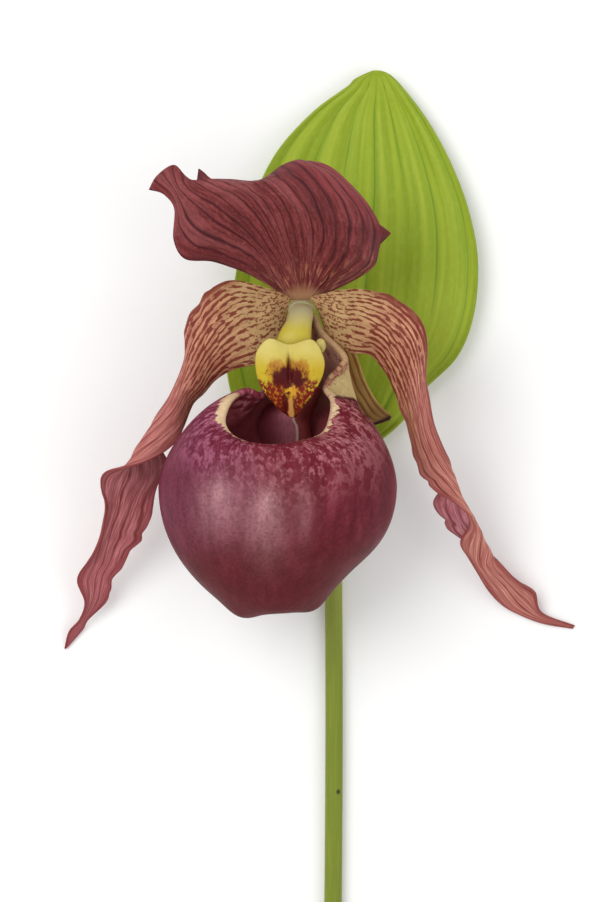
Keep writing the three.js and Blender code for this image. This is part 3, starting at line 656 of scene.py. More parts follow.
def mix(share, *colours):
    """The first of two colours where the share is 0, and the second where it is 1."""
    first, second = [each if isinstance(each, Value) else colour(*each) for each in colours]
    inputs = {0: share, 6: first, 7: second}
    return share.graph.value("ShaderNodeMix", inputs, 2, data_type="RGBA")


def layered(ground, *layers):
    """A ground with more colours laid over it, each with the share that it covers."""
    for share, shade in layers:
        ground = mix(share, ground, shade)
    return ground


def stretched(vector, factors):
    inputs = {0: vector, 1: factors}
    return vector.graph.value("ShaderNodeVectorMath", inputs, operation="MULTIPLY")


def noise(vector, factors=None, detail=2, distortion=0):
    """Clouds from 0 to 1, which are finer the larger the vector's factors are."""
    place = stretched(vector, factors) if factors else vector
    inputs = {"Vector": place, "Scale": 1, "Detail": detail, "Distortion": distortion}
    return vector.graph.value("ShaderNodeTexNoise", inputs, "Fac")


def cells(vector, factors):
    """Distance to the nearest of scattered points."""
    inputs = {"Vector": stretched(vector, factors), "Scale": 1}
    return vector.graph.value("ShaderNodeTexVoronoi", inputs, "Distance")


def lines(across, count, wander):
    """Distance from the nearest of even lines across -1 to 1: 0 on one, 1 midway."""
    phase = across.graph.math("MULTIPLY_ADD", across, count / 2, wander)
    return across.graph.math("PINGPONG", phase, 0.5) * 2


def bump(height, distance, strength):
    inputs = {"Height": height, "Distance": distance, "Strength": strength}
    return height.graph.value("ShaderNodeBump", inputs)


def blade_graph(name):
    """A blade's new graph, with its u, v and front, its along and margin, and its flow."""
    graph = Graph(name)
    flow = graph.field("flow")
    along, _, margin = parts(flow)
    return graph, *parts(graph.field("place")), along, margin, flow


def petal_marks(u, v, along, margin, flow):
    """Specks near the base, then rows of dashes up to the shoulder, and dark veins beyond."""
    wander = noise(flow, (0.09, 0.25, 0)) - 0.5
    veins = lines(v, PETAL_VEINS, wander * 0.9)
    branches = lines(v, 2 * PETAL_VEINS + 1, wander * 2.2 + 0.2)
    rows = lines(v, PETAL_ROWS, wander * 1.6)
    strength = rise(noise(join(along * 0.06, v * 4, 3)), 0.36, 0.62)
    dashes = noise(flow, (0.42, 1.2, 0), 3)
    far = rise(u, 0.24, 0.4)
    speckled = fall(u - v * 0.04, 0.05, 0.13)
    spotted = fall(cells(flow, (0.95, 1.25, 0)), 0.3, 0.42) * speckled * 0.85
    beaded = dashes + (1 - rows) * 0.34 - speckled * 0.07 + rise(u, 0.08, 0.16) * 0.05
    streaked = rise(beaded, 0.68, 0.77) * (1 - far * 0.8)
    lined = fall(veins, 0.08, 0.42) * (strength * 0.45 + 0.55) * far
    thin = fall(branches, 0.05, 0.5) * strength * far * 0.45
    outer = fall(v, -0.6, 0) * rise(u, 0.08, 0.15) * (1 - far * 0.6)
    edge = fall(margin - dashes * 4 + 0.5, 0, 0.8) * outer * 0.85
    outline = fall(margin, 0.25, 0.7) * rise(u, 0.1, 0.2) * 0.65
    return most(spotted, streaked, lined, thin, edge, outline)


def petal_material(name, far_colours, under_colours, pale_margin):
    """Cream at the base and rose further out, with maroon marks."""
    graph, u, v, front, along, margin, flow = blade_graph(name)
    striae = noise(join(along * 0.14, v * 19), detail=4)
    cloud = noise(flow, (0.16, 0.3, 0))
    contrast = rise(striae, 0.33, 0.67)
    cream = mix(cloud, (158, 126, 80), (208, 174, 126))
    tan = mix(contrast, (154, 92, 74), (202, 148, 112))
    rose = mix(contrast, *far_colours)
    side = rise(v, 0.1, 0.9) * fall(u, 0.4, 0.65) * pale_margin
    ground = layered(cream, (rise(u, 0.06, 0.2), tan), (rise(u - side * 0.14, 0.2, 0.36), rose))
    flush = fall(margin, 0.4, 2.4) * rise(u, 0.24, 0.4) * 0.45
    marks = petal_marks(u, v, along, margin, flow)
    ink = mix(rise(u, 0.1, 0.4), (112, 34, 26), (112, 36, 34))
    painted = layered(
        mix(contrast, *under_colours), (front, ground), (flush, (136, 48, 56)), (marks * 0.9, ink))
    grain = noise(flow, (2.5, 5, 0), 3)
    height = grain * 0.3 + striae * 0.35
    return graph.finish(painted, grain * 0.2 + 0.5, bump(height, 0.0003, 0.8), soft=0.2, gloss=0.2)


def sepal_material():
    """Maroon with dark veins. Cream bars at the base and on the right lobe."""
    graph, u, v, _, along, margin, flow = blade_graph("sepal_maroon")
    wander = noise(flow, (0.06, 0.25, 0)) - 0.5
    veins = lines(v, SEPAL_VEINS, wander * 0.8)
    branches = lines(v, 2 * SEPAL_VEINS + 1, wander * 2 + 0.3)
    strength = rise(noise(join(along * 0.05, v * 7, 2)), 0.34, 0.62)
    striae = noise(join(along * 0.2, v * 34), detail=4)
    # Broad folds: they bump the surface a little, and they also give the painted highlight and
    # painted shade below.
    fold_relief_and_light = noise(join(along * 0.03, v * 3.2), detail=1)
    mottle = noise(flow, (1, 1.5, 0), 3)
    line = fall(veins, 0.05, 0.4) * (strength * 0.4 + 0.6)
    thin = fall(branches, 0.05, 0.4) * strength * 0.35
    spike = fall(abs(v - SEPAL_SPIKE_V), 0.02, 0.06) * rise(u, 0.9, 0.98) * 0.8
    bars = noise(join(along * 0.22, v * 32, 5), detail=1)
    lobe_bars = rise(v, 0.6, 0.8) * fall(u, 0.26, 0.36) * 0.6
    barred = rise(bars, 0.52, 0.66) * most(fall(u, 0.08, 0.22), lobe_bars) * 0.75
    painted = layered(
        mix(rise(striae, 0.36, 0.64), (100, 34, 36), (130, 56, 58)),
        (rise(mottle, 0.5, 0.66) * 0.3, (158, 88, 84)),
        # Painted highlight, then painted shade, in broad bands along the folds.
        (rise(fold_relief_and_light, 0.5, 0.64) * 0.4, (148, 82, 84)),
        (fall(fold_relief_and_light, 0.36, 0.48) * 0.45, (84, 28, 32)),
        (rise(v, 0.25, 0.9) * rise(u, 0.4, 0.7) * 0.5, (146, 54, 60)),
        (most(line, thin, spike) * 0.88, (60, 12, 20)),
        (barred, mix(mottle, (160, 92, 74), (200, 142, 108))),
        (fall(u, 0.02, 0.07) * 0.8, (186, 142, 104)),
        (fall(margin, 0.1, 0.6) * 0.5, (66, 24, 34)))
    grain = noise(flow, (2, 4, 0), 3)
    height = grain * 0.3 + striae * 0.6 + fold_relief_and_light * 2
    return graph.finish(painted, grain * 0.2 + 0.5, bump(height, 0.0003, 0.8), soft=0.1, gloss=0.22)


def leaf_material():
    """Yellow-green, painted shade darkening the pleats towards their valleys, a dark line in each.
    """
    graph, u, v, _, along, margin, flow = blade_graph("leaf_green")
    wander = noise(flow, (0.03, 0.1, 0)) - 0.5
    crest = lines(v, 2 / PLEAT_SPACING, wander * 0.2)
    strength = rise(noise(join(along * 0.02, v * 5)), 0.38, 0.6) * fall(u, 0.74, 0.9)
    veins = lines(v, 4 * LEAF_FINE_VEINS, wander * 3)
    striae = noise(flow, (0.04, 1.1, 0), 3)
    bands = noise(join(along * 0.012, v * 9))
    mottle = noise(flow, (0.5, 0.8, 0), 3)
    band = (rise(bands, 0.34, 0.66) - 0.5) * fall(u, 0.7, 0.92) + 0.5
    painted = layered(
        mix(band, (134, 156, 26), (164, 180, 50)),
        (striae * 0.3, (142, 166, 38)),
        (rise(mottle, 0.45, 0.7) * 0.15, (180, 196, 80)),
        (fall(veins, 0, 0.6) * 0.1, (112, 144, 22)),
        # Painted shade: the pleats darken towards each valley.
        (fall(crest, 0, 0.45) * (strength * 0.45 + 0.05), (104, 142, 14)),
        (fall(crest, 0.01, 0.08) * (strength * 0.5 + 0.06), (80, 112, 10)),
        (fall(margin, 0.1, 0.7) * 0.35, (104, 132, 40)))
    grain = noise(flow, (1.2, 3, 0), 3)
    height = veins * 0.3 + grain * 0.4 + bands
    return graph.finish(painted, grain * 0.2 + 0.45, bump(height, 0.0002, 0.5), soft=0.2, gloss=0.25)


def synsepal_material():
    """Olive brown with maroon stripes and a dark tip."""
    graph, u, v, _, along, _, _ = blade_graph("synsepal_brown")
    threads = join(along * 0.2, v * 9)
    wander = noise(threads, (0.5, 0.3, 0)) - 0.5
    veins = lines(v, SYNSEPAL_VEINS, wander * 0.8)
    striae = noise(threads, detail=4)
    painted = layered(
        mix(striae, (162, 124, 62), (206, 170, 100)),
        (fall(veins, 0.15, 0.6) * rise(striae, 0.3, 0.5) * 0.75, (116, 58, 36)),
        (rise(u, 0.45, 0.85) * 0.5, (96, 62, 32)),
        (rise(u, 0.84, 0.96), (62, 26, 24)))
    return graph.finish(painted, 0.5, bump(striae, 0.0003, 0.7), soft=0.12, gloss=0.25)


def lip_claw(x, z, beyond, mottle):
    """Where the cream claw is, with a more ragged end where it turns out of sight."""
    hidden = most(fall(x, -0.013, -0.007), fall(z, 0.023, 0.029))
    return rise(beyond + (mottle - 0.5) * (hidden * 3 + 0.15), -0.08, 0.12)


def lip_outside(graph, rim, flow, fine, net):
    """Wine red, darker and paler blotches by the mouth, a cream claw, painted highlight and shade.
    """
    beyond, painted_highlight, crease = parts(graph.field("tint"))
    point = graph.position()
    x, y, z = parts(point)
    cloud = noise(flow, (0.06, 0.09, 0.09))
    patch = noise(flow, (0.3, 0.55, 0.55))
    worms = noise(flow, (0.95, 1.5, 1.5))
    streaks = noise(point, (330, 55, 330), 3)
    grit = noise(point, (1500, 1500, 1500), 3)
    mottle = net * 0.6 + worms * 0.4
    right = rise(x + cloud * 0.016, -0.026, -0.002)
    middle = fall(abs(x + 0.018), 0.005, 0.017)
    low = fall(y, -0.068, -0.05)
    near = fall(rim + cloud * 12 - right * 3, 8, 26)
    purple = mix(fine, (84, 22, 44), (122, 52, 74))
    wine = mix(fine, (82, 18, 32), (118, 42, 54))
    foot = mix(fine, (74, 18, 24), (104, 34, 38))
    coarse = mottle + (cloud - 0.5) * 0.2 + (patch - 0.5) * 0.45
    blotch = rise(coarse, 0.45, 0.6) * near * (0.78 - middle * 0.3 - right * 0.14)
    thread = fall(abs(worms - 0.5), 0.015, 0.07) * near * 0.65
    cream = mix(fine, (166, 142, 90), (212, 190, 138))
    return layered(
        purple, (right, wine), (low, foot),
        (rise(streaks, 0.48, 0.66) * (1 - low * 0.7) * 0.25, (150, 68, 84)),
        (fall(streaks, 0.34, 0.46) * 0.35, (72, 14, 24)),
        # Painted highlight: pale patches where the pouch's gloss would shine.
        (painted_highlight * (streaks * 0.8 + mottle * 1.1 - 0.2), (204, 158, 160)),
        (rise(grit, 0.46, 0.64) * 0.25, (66, 12, 24)),
        (near * 0.5, mix(right, (112, 26, 54), (118, 26, 40))),
        (blotch, mix(right, (182, 108, 138), (204, 134, 138))),
        (thread, (82, 14, 28)),
        (lip_claw(x, z, beyond, mottle), mix(rise(grit, 0.6, 0.68) * 0.5, cream, (130, 70, 60))),
        # Painted shade: a dark line along the crease where the claw meets the pouch.
        (crease, (60, 16, 24)))


def lip_inside(graph, rim, fine, net):
    """Dark red, darker by the rim on the left, with pale and dark freckles near the rim."""
    x, y, _ = parts(graph.position())
    return layered(
        mix(fine, (150, 56, 66), (196, 104, 112)),
        (fall(rim, 3, 9) * fall(x, -0.02, -0.016) * 0.75, mix(fine, (92, 26, 38), (132, 52, 62))),
        (rise(y, -0.03, -0.022) * rise(x, -0.019, -0.015) * 0.75,
         mix(fine, (176, 128, 112), (214, 178, 150))),
        (rise(net, 0.53, 0.6) * fall(rim, 3, 16) * 0.6, (214, 138, 146)),
        (fall(net, 0.4, 0.46) * fall(rim, 6, 20) * 0.7, (104, 26, 40)))


def lip_material():
    """Its own colours outside and inside, and a cream band with a ragged edge on the rim."""
    graph = Graph("lip_wine")
    rim, outside, band = parts(graph.field("place"))
    flow = graph.field("flow")
    y = parts(graph.position())[1]
    fine = noise(flow, (0.9, 1.3, 1.3), 5)
    net = noise(flow, (0.42, 0.85, 0.85), 5, 0.3)
    ragged = rim + (net - 0.5) * 6 - band
    turned = rise(y, -0.0235, -0.022) * fall(y, -0.0175, -0.016) * rise(net, 0.4, 0.54) * 0.85
    edge = layered(
        mix(fine, (192, 158, 116), (230, 206, 170)),
        (rise(y, -0.028, -0.02), mix(fine, (150, 112, 80), (196, 164, 122))),
        (turned, (128, 54, 54)))
    outer = mix(fall(ragged, -0.3, 0.3), lip_outside(graph, rim, flow, fine, net), edge)
    inner_edge = fall(ragged, -0.8, 0) * rise(band, 0.3, 0.6)
    whole = mix(outside, mix(inner_edge, lip_inside(graph, rim, fine, net), edge), outer)
    grain = noise(flow, (1.4, 1.4, 1.4), 3)
    return graph.finish(whole, grain * 0.16 + 0.4, bump(grain, 0.0002, 0.4))


def fold_material():
    """Purple on the left flank, red in painted shade on the right, a painted highlight on the crest.
    """
    graph, _, v, _, _, _, flow = blade_graph("lip_fold_purple")
    fine = noise(flow, (0.4, 1.3, 0), 5)
    painted = layered(
        mix(fine, (176, 84, 104), (226, 150, 160)),
        (fall(v, -0.9, -0.2), (150, 66, 74)),
        # Painted shade: the right flank, away from the light, in a darker red.
        (rise(v, -0.02, 0.06), mix(fine, (150, 62, 62), (196, 108, 100))),
        # Painted highlight: a pale line along the crest.
        (fall(abs(v - 0.01), 0.02, 0.07), (244, 214, 200)))
    return graph.finish(painted, 0.5, bump(fine, 0.0003, 0.5), soft=0.1, gloss=0.3)


def shield_material():
    """Yellow, paler on the shoulders, with a maroon blotch and freckles round a streak."""
    graph = Graph("staminode_yellow")
    point = graph.position()
    x, y, _ = parts(point)
    local_x = x * (1 / MM) - SHIELD_MIDDLE[0]
    local_y = y * (1 / MM) - SHIELD_MIDDLE[1]
    ragged = noise(point, (900, 500, 0), 4)
    cloud = noise(point, (300, 300, 0))
    freckles = noise(point, (1300, 1100, 0), 3)
    shift = (ragged - 0.5) * 5
    side = abs(local_x + 0.3)
    wide = side + shift
    high = local_y + shift
    halo = fall(wide, 3.4, 6) * fall(high, 1, 4) * 0.75
    low = rise(freckles, 0.38, 0.52) * fall(high, -3, -1.4)
    flecks = rise(freckles, 0.6, 0.66) * fall(wide, 5.2, 6.6) * fall(high, 0.6, 2.2)
    blotch = fall(wide, 2.8, 4.4) * fall(high + side * 0.2, 0.6, 2) * rise(high, -4.4, -2.6)
    groove = fall(side + local_y * 0.12 + shift * 0.1, 0.4, 1.1) * fall(local_y, 2.4, 5.4) * 0.9
    off_x = abs(local_x - 0.3)
    spread = off_x + abs(local_y + 4.9) * 1.1 + shift
    patch = fall(spread, 1.2, 2.6) * fall(freckles, 0.5, 0.62)
    tail = fall(off_x + shift * 0.25, 0.3, 0.9) * fall(local_y, -6.4, -5)
    painted = layered(
        mix(cloud, (184, 156, 28), (206, 182, 54)),
        (rise(local_y, 0, 6), mix(cloud, (194, 176, 80), (210, 196, 120))),
        (halo, (160, 84, 22)),
        (most(low, flecks), (124, 28, 20)),
        (most(blotch, groove), mix(cloud, (60, 4, 8), (88, 14, 12))),
        (most(patch, tail) * 0.85,
         mix(rise(local_y, -7.4, -5.6), (214, 150, 84), (218, 164, 44))))
    return graph.finish(painted, 0.42, bump(ragged, 0.0002, 0.3), soft=0.12, gloss=0.14)


def column_material():
    """Pale grey cream at the back, yellow where it meets the shield."""
    graph = Graph("column_cream")
    point = graph.position()
    fine = noise(point, (500, 250, 250), 3)
    edge = parts(point)[1] + fine * 0.002
    painted = layered(
        mix(fall(edge, -0.0085, -0.002), (198, 192, 152), (188, 170, 42)),
        (fine * 0.3, (176, 170, 108)))
    return graph.finish(painted, 0.45, bump(fine, 0.0002, 0.3), soft=0.2, gloss=0.35)


def stalk_material(name, first, second, streak, pale_end=None):
    """Green with fine lengthwise streaks, paler near the bloom, partly painted light, cream above a
    pale end.
    The stem's cut face and its scar are painted by their places.
    """
    graph = Graph(name)
    flow = graph.field("flow")
    point = graph.position()
    _, y, z = parts(point)
    fine = noise(flow, (0.08, 2.2, 2.2), 4)
    cloud = noise(flow, (0.05, 0.2, 0.2))
    vessels = noise(point, (2200, 0, 2200), 1)
    cut = STEM_CUT_END_Y * MM
    place = {0: point, 1: STEM_SCAR}
    apart = graph.value("ShaderNodeVectorMath", place, "Value", operation="DISTANCE")
    painted = layered(
        mix(cloud, first, second),
        # Paler near the bloom: partly the stalk's own colour, partly painted light that lifts the
        # lip's shadow on the stem.
        (rise(y, -0.1, -0.06) * 0.7, (158, 166, 74)),
        (rise(fine, 0.45, 0.7) * 0.35, streak),
        (fall(y, cut + 0.0001, cut + 0.0002),
         mix(fall(vessels, 0.36, 0.44), (196, 204, 146), (134, 150, 74))),
        (fall(apart + fine * 0.0012, 0.0009, 0.0016) * 0.95, (36, 38, 14)))
    if pale_end:
        painted = mix(rise(z, pale_end - 0.004, pale_end), painted, (190, 168, 128))
    return graph.finish(painted, fine * 0.2 + 0.42, bump(fine, 0.00015, 0.5), soft=0.2, gloss=0.3)


def anther_material():
    """Pale yellow."""
    graph = Graph("anther_cream")
    fine = noise(graph.position(), (900, 900, 900), 3)
    ground = mix(fine, (176, 160, 80), (208, 192, 118))
    return graph.finish(ground, 0.4, bump(fine, 0.0002, 0.4), soft=0.3, gloss=0.3)


def floor_material():
    """Off-white."""
    graph = Graph("floor_pale")
    fine = noise(graph.position(), (40, 40, 40), 3)
    ground = mix(fine, (245, 245, 244), (249, 249, 248))
    return graph.finish(ground, 0.9)


# ---- Pieces ----

def grid(along, across):
    """Steps of u, and of v, which lie closer near the margins so that these come out round."""
    return np.linspace(0, 1, along + 1), np.sin(np.linspace(-np.pi / 2, np.pi / 2, across + 1))


def midway(u):
    """1 midway along a blade and 0 at its ends."""
    return np.sin(np.pi * u)[:, None]


def ripple(u, v, seed, waves):
    """Gentle irregular waves, the same each run."""
    draws = np.random.default_rng(seed)
    total = np.zeros((len(u), len(v)))
    for _ in range(waves):
        along, across = draws.uniform(2, 9), draws.uniform(0.3, 1.8)
        phase = draws.uniform(0, 2 * np.pi)
        total += np.sin(2 * np.pi * along * u[:, None] + across * np.pi * v[None, :] + phase)
    return total / waves


def leaf(material):
    """The floral leaf, with lengthwise pleats."""
    u, v = grid(240, 108)
    middle = three_rails(LEAF_STATIONS, u, v)
    pleat = np.abs(np.sin(np.pi * v / PLEAT_SPACING))
    fine = LEAF_VEIN_HEIGHT * np.cos(2 * np.pi * LEAF_FINE_VEINS * v)
    relief = PLEAT_HEIGHT * pleat + fine + RIPPLE_HEIGHT * ripple(u, v, 11, 5)
    middle = raised(middle, relief * midway(u))
    return sheet("leaf_blade", "bract", material, middle, u, v, BLADE_THICKNESS)


def petal(name, node, material, stations, frills, seed, top_face):
    """A side petal, ruffled and crimped towards its margins."""
    u, v = grid(500, 48)
    middle = three_rails(stations, u, v, frills)
    body = midway(u)
    wave = np.sin(2 * np.pi * PETAL_RUFFLE_WAVES * u[:, None] + v[None, :])
    ruffle = PETAL_RUFFLE_HEIGHT * np.abs(v) ** 3 * body * wave
    veins = PETAL_VEIN_HEIGHT * np.cos(np.pi * PETAL_VEINS * v) * body
    crimp = PETAL_CRIMP_HEIGHT * np.abs(v) ** 4 * body * ripple(u * 2.2, v, seed, 4)
    middle = raised(middle, ruffle - veins + crimp)
    return sheet(name, node, material, middle, u, v, THIN_BLADE, top_face)


def dorsal_sepal(material):
    """The hood, with its drawn-out points."""
    u, v = grid(180, 200)
    middle = drawn_out(many_rails(DORSAL_SEPAL_RAILS, u, v), u, v)
    relief = RIPPLE_HEIGHT * ripple(u, v, 5, 4) - SEPAL_VEIN_HEIGHT * np.cos(np.pi * SEPAL_VEINS * v)
    middle = raised(middle, relief * midway(u))
    return sheet("sepal_blade", "dorsal_sepal", material, middle, u, v, THIN_BLADE)


def synsepal(material):
    """The two lower sepals, grown together."""
    u, v = grid(120, 40)
    veins = SYNSEPAL_VEIN_HEIGHT * np.cos(np.pi * SYNSEPAL_VEINS * v) * midway(u)
    middle = raised(three_rails(SYNSEPAL_STATIONS, u, v), veins)
    return sheet("synsepal_blade", "synsepal", material, middle, u, v, THIN_BLADE)


def rim_at(angle):
    """The rim's points at angles round the pouch, and the way the wall comes to them."""
    angles, points, ways = zip(*LIP_RIM)
    rows = len(LIP_RIM)
    at = np.interp(angle, [*angles, 360], np.arange(rows + 1)) / rows
    return spline(points, at, closed=True), spline(ways, at, closed=True)


def pouch_below(polar, turn):
    """The pouch's lower part at every angle from its lowest point and every turn."""
    polar = polar[:, None]
    direction = together(np.sin(polar) * np.cos(turn), -np.cos(polar),
                         np.sin(polar) * np.sin(turn))
    amount, lean, angle, width = POUCH_WAIST
    waist = bell(np.degrees(polar) - angle, width)
    size = 1 - (amount + lean * np.cos(turn)) * waist
    for axis, swelling, spread in POUCH_TOES:
        away = np.degrees(np.arccos(np.clip(direction @ unit(np.array(axis)), -1, 1)))
        size = size + swelling * bell(away, spread)
    half_sizes = np.array([POUCH_HALF_X, POUCH_DEPTH, POUCH_HALF_Z])
    return np.array(POUCH_CENTRE) + direction * half_sizes * size[..., None]


def pouch(t, v):
    """The lip's outer surface at every t (0 lowest, 0.5 widest, 1 rim) and every v."""
    lower = pouch_below(np.pi * t, 2 * np.pi * v)
    widest = pouch_below(np.array([np.pi / 2]), 2 * np.pi * v)[0]
    point, approach = rim_at(360 * v)
    s = np.clip(2 * t - 1, 0, 1)[:, None, None]
    upper = ((1 - s) ** 3 * widest + 3 * s * (1 - s) ** 2 * (widest + [0, POUCH_SHOULDER_RISE, 0])
             + 3 * s ** 2 * (1 - s) * (point + approach) + s ** 3 * point)
    return np.where(t[:, None, None] <= 0.5, lower, upper)


def lip_tint(points):
    """How far each point lies beyond the claw's line, and its painted highlight and crease shade."""
    x, y, z = np.moveaxis(points, -1, 0)
    line = np.interp(x, *zip(*LIP_CLAW_LINE))
    beyond = np.clip((y - line) / LIP_CLAW_RAMP, -1, 1)
    right = smooth(x, -5, -3.5) * smooth(x, 11, 9) * smooth(z, 26, 30)
    # A dark line of painted shade along the crease, just beside the claw's line, on the right.
    crease = 0.9 * right * bell(y - line + 0.3, 0.3)
    # Painted highlights, kept to the parts that face up.
    painted_highlight = sum(amount * bell(x - at[0], wide) * bell(y - at[1], tall)
               for at, wide, tall, amount in LIP_PAINTED_HIGHLIGHTS)
    return together(beyond, painted_highlight * smooth(z, 34, 44), crease)


def lip(material):
    """The pouch with a rolled rim. Its place says how far a point lies from the rim, 1 for
    the outside or 0 for the inside, and how wide the rim's band is there.
    """
    around = 240
    v = np.arange(around) / around
    t = np.concatenate([np.linspace(0.01, 0.9, 120), np.linspace(0.9, 1, 31)[1:]])
    outer = pouch(t, v)
    closed = np.concatenate([outer[:, -1:], outer, outer[:, :1]], axis=1)
    facing = -normals(closed)[:, 1:-1]
    to_rim = arc(outer[::-1], 0)[::-1]
    bead = LIP_BEAD * smooth(to_rim, 3, 0)[..., None]
    inner = outer - facing * (LIP_WALL + bead)
    shell = outer + facing * bead
    centre = (shell[-1] + inner[-1]) / 2
    radius = np.linalg.norm(shell[-1] - inner[-1], axis=-1, keepdims=True) / 2
    forward = unit(outer[-1] - outer[-2])
    rolls = [centre + radius * (np.cos(a) * facing[-1] + np.sin(a) * forward)
             for a in np.linspace(0, np.pi, 9)[1:-1]]
    rings = np.concatenate([shell, rolls, inner[::-1]])

    def whole(outside, rolled, inside):
        return np.concatenate([outside, np.broadcast_to(rolled, (len(rolls), around)), inside[::-1]])

    rim = whole(to_rim, 0, to_rim)
    outside = whole(np.ones_like(to_rim), 0.5, np.zeros_like(to_rim))
    band = np.interp(360 * v, *zip(*RIM_BAND))
    turn = 2 * np.pi * v
    flow = together(rim + LIP_INSIDE_SHIFT * (1 - outside), LIP_FLOW_RADIUS * np.cos(turn),
                    LIP_FLOW_RADIUS * np.sin(turn))
    lowest = pouch(np.array([0.0]), np.array([0.0]))[0, 0]
    fields = {"place": together(rim, outside, band), "flow": flow, "tint": lip_tint(rings)}
    return tube("lip_pouch", "lip", material, rings, fields, first=lowest,
                last=lowest + [0, LIP_WALL, 0])


def lip_fold(material):
    """The keel of the lip's back wall."""
    u, v = grid(120, 60)
    middle = three_rails(LIP_FOLD_STATIONS, u, v)
    return sheet("lip_fold_keel", "lip_fold", material, middle, u, v, BLADE_THICKNESS)


def stalk(name, node, material, rings):
    """A tube whose flow is the way along it and a place on a circle of the stem's size."""
    turn = turns(rings.shape[1])
    flow = together(arc(rings, 0), STEM_RADIUS * np.cos(turn), STEM_RADIUS * np.sin(turn))
    return tube(name, node, material, rings, {"flow": flow})


def stem(material):
    """The cut stalk, lying on the floor, with faint ribs and rings on its cut face."""
    around = 64
    u = np.linspace(0, 1, 241)
    length = STEM_NODE_Y - STEM_CUT_END_Y
    swell = bell(length * (1 - u), STEM_NODE_LENGTH)
    radius = STEM_RADIUS + (STEM_NODE_RADIUS - STEM_RADIUS) * swell
    bow = STEM_BOW * np.sin(np.pi * u)
    centres = together(STEM_CENTRE_X + bow, STEM_CUT_END_Y + length * u, radius)
    wave = np.cos(STEM_RIBS * turns(around) + 0.6 * np.sin(5 * u[:, None]))
    ribbed = radius[:, None] * (1 - STEM_RIB_SHARE * (1 + wave))
    rings = loft(centres, ribbed, ribbed, around)
    middle = rings[:1].mean(axis=1, keepdims=True)
    cut_face = [middle + share * (rings[:1] - middle) for share in (0.45, 0.94)]
    return stalk("stem_stalk", "stem", material, np.concatenate([*cut_face, rings]))


def ovary(material):
    """Ribbed, and bent up from the stem's node to the back of the bloom."""
    around = 96
    u = np.linspace(0, 1, 121)
    ribs = 1 + OVARY_RIB_SHARE * np.cos(OVARY_RIBS * turns(around))
    radius = spline(OVARY_RADII, u)[:, None] * ribs
    rings = loft(spline(OVARY_CENTRES, u), radius, radius, around)
    return stalk("ovary_body", "ovary", material, rings)


def column(material):
    """It carries the shield, and its foot spreads to meet the ovary."""
    u = np.linspace(0, 1, 81)
    centres = spline(COLUMN_CENTRES, u)
    foot = bell(centres[:, 2:] - centres[0, 2], COLUMN_FOOT_HEIGHT)
    wide = spline(COLUMN_HALF_WIDTHS, u)[:, None] + COLUMN_FOOT_WIDE * foot
    deep = spline(COLUMN_HALF_DEPTHS, u)[:, None] + COLUMN_FOOT_DEEP * foot
    return stalk("column_body", "column", material, loft(centres, wide, deep, 64))


def staminode(material):
    """The shield: two swollen faces, the front one with a groove, and a rounded edge."""
    around = 180
    rings = 40
    outline = spline(SHIELD_OUTLINE, np.arange(around) / around, closed=True)
    share = np.sin(np.pi / 2 * np.arange(1, rings + 1) / rings)
    middle = np.array(SHIELD_MIDDLE)
    flat = middle + (outline - middle) * share[:, None, None]
    tip, top = SHIELD_OUTLINE[7][1], SHIELD_OUTLINE[0][1]
    level = SHIELD_TIP_Z + (flat[..., 1] - tip) / (top - tip) * (SHIELD_TOP_Z - SHIELD_TIP_Z)
    swell = (1 - share ** 2)[:, None]
    side = np.abs(flat[..., 0] - middle[0])
    groove = bell(side, SHIELD_GROOVE_WIDTH) * smooth(flat[..., 1], *SHIELD_GROOVE_FADE)
    at_edge = SHIELD_GROOVE_EDGE_SHARE
    depth = SHIELD_GROOVE_DEPTH * groove * (at_edge + (1 - at_edge) * swell)
    front = level + SHIELD_EDGE / 2 + SHIELD_CROWN * swell - depth
    back = level - SHIELD_EDGE / 2 - SHIELD_BACK * swell
    bulge = outline + SHIELD_EDGE / 4 * unit(outline - middle)
    faces = [together(*np.moveaxis(flat, -1, 0), height) for height in (front, back)]
    edge = together(bulge[:, 0], bulge[:, 1], level[-1])
    rows = np.concatenate([faces[0], edge[None], faces[1][::-1]])
    first = np.array([*middle, front[0].mean()])
    last = np.array([*middle, back[0].mean()])
    return tube("staminode_shield", "staminode", material, rows, {}, first, last)


def lobe(name, node, material, centre, half_sizes, tip):
    """A small rounded body with a crease along it, tipped about X by so many degrees."""
    polar = np.linspace(0, np.pi, 34)[1:-1, None]
    turn = turns(48)
    ball = together(np.sin(polar) * np.cos(turn), np.cos(polar), -np.sin(polar) * np.sin(turn))
    crease = 1 - CREASE_SHARE * bell(ball[..., :1], CREASE_WIDTH) * (ball[..., 2:] > 0)
    x, y, z = np.moveaxis(ball * crease * np.array(half_sizes), -1, 0)
    angle = np.radians(tip)
    tipped = together(x, y * np.cos(angle) - z * np.sin(angle),
                      y * np.sin(angle) + z * np.cos(angle))
    return tube(name, node, material, tipped + np.array(centre), {})


# ---- Stage, lights and camera ----

def stage():
    bpy.ops.mesh.primitive_plane_add(size=FLOOR_SIZE, location=(0, 0, -FLOOR_DROP))
    floor = bpy.context.object
    floor.name = "floor"
    floor.data.materials.append(floor_material())


def soft_light(name, place, size, power):
    """A round lamp that shines at the middle of the bloom."""
    lamp = bpy.data.lights.new(name, "AREA")
    lamp.shape = "DISK"
    lamp.size = size
    lamp.energy = power
    holder = placed(name, lamp)
    holder.location = place
    way = Vector(LAMP_TARGET) - Vector(place)
    holder.rotation_euler = way.to_track_quat("-Z", "Y").to_euler()


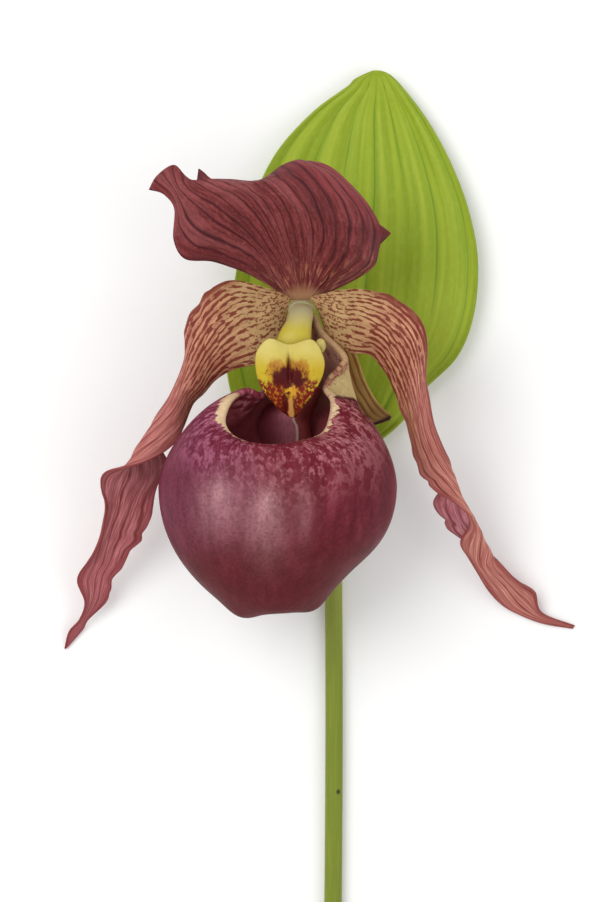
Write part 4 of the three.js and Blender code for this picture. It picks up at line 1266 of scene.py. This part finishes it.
def light():
    world = bpy.data.worlds.new("studio")
    world.use_nodes = True
    background = world.node_tree.nodes["Background"]
    background.inputs["Color"].default_value = (1.0, 1.0, 1.0, 1.0)
    background.inputs["Strength"].default_value = WORLD_STRENGTH
    bpy.context.scene.world = world
    for lamp in LAMPS:
        soft_light(*lamp)
    bpy.context.scene.view_settings.view_transform = "Standard"


def camera():
    """It looks straight down, as an object's camera does before it is turned."""
    lens = bpy.data.cameras.new("camera")
    lens.lens = CAMERA_LENS
    lens.sensor_width = SENSOR
    lens.sensor_height = SENSOR
    lens.sensor_fit = "AUTO"
    lens.clip_start = 0.01
    holder = placed("camera", lens)
    holder.location = (*PHOTO_CENTRE, CAMERA_HEIGHT)
    bpy.context.scene.camera = holder


camera()
stage()
light()
leaf(leaf_material())
petal("petal_left_blade", "petal_left",
      petal_material("petal_rose_left", ((162, 88, 84), (204, 136, 126)),
                     ((152, 76, 80), (192, 118, 122)), 0.3),
      LEFT_PETAL_STATIONS, LEFT_PETAL_FRILLS, seed=3, top_face=0)
# Its underside colours are lighter than the left petal's: painted light on the turned lobe, which
# its fold shades.
petal("petal_right_blade", "petal_right",
      petal_material("petal_rose_right", ((164, 90, 84), (206, 142, 126)),
                     ((172, 94, 104), (214, 144, 152)), 1),
      RIGHT_PETAL_STATIONS, RIGHT_PETAL_FRILLS, seed=4, top_face=1)
dorsal_sepal(sepal_material())
synsepal(synsepal_material())
lip(lip_material())
lip_fold(fold_material())
stem(stalk_material("stem_green", (104, 120, 22), (122, 134, 32), (140, 150, 58)))
ovary(stalk_material("ovary_green", (112, 126, 40), (136, 146, 58), (158, 162, 88),
                     OVARY_PALE_END * MM))
cream = column_material()
column(cream)
staminode(shield_material())
anther_finish = anther_material()
for side, middle in ANTHERS:
    lobe(f"anther_{side}_lobe", f"anther_{side}", anther_finish, middle,
         ANTHER_HALF_SIZES, LOBE_TIP)
for side, middle in FILAMENTS:
    lobe(f"anther_{side}_filament", f"anther_{side}", anther_finish, middle,
         FILAMENT_HALF_SIZES, 0)
lobe("stigma_disc", "stigma", cream, STIGMA_MIDDLE, STIGMA_HALF_SIZES, LOBE_TIP)
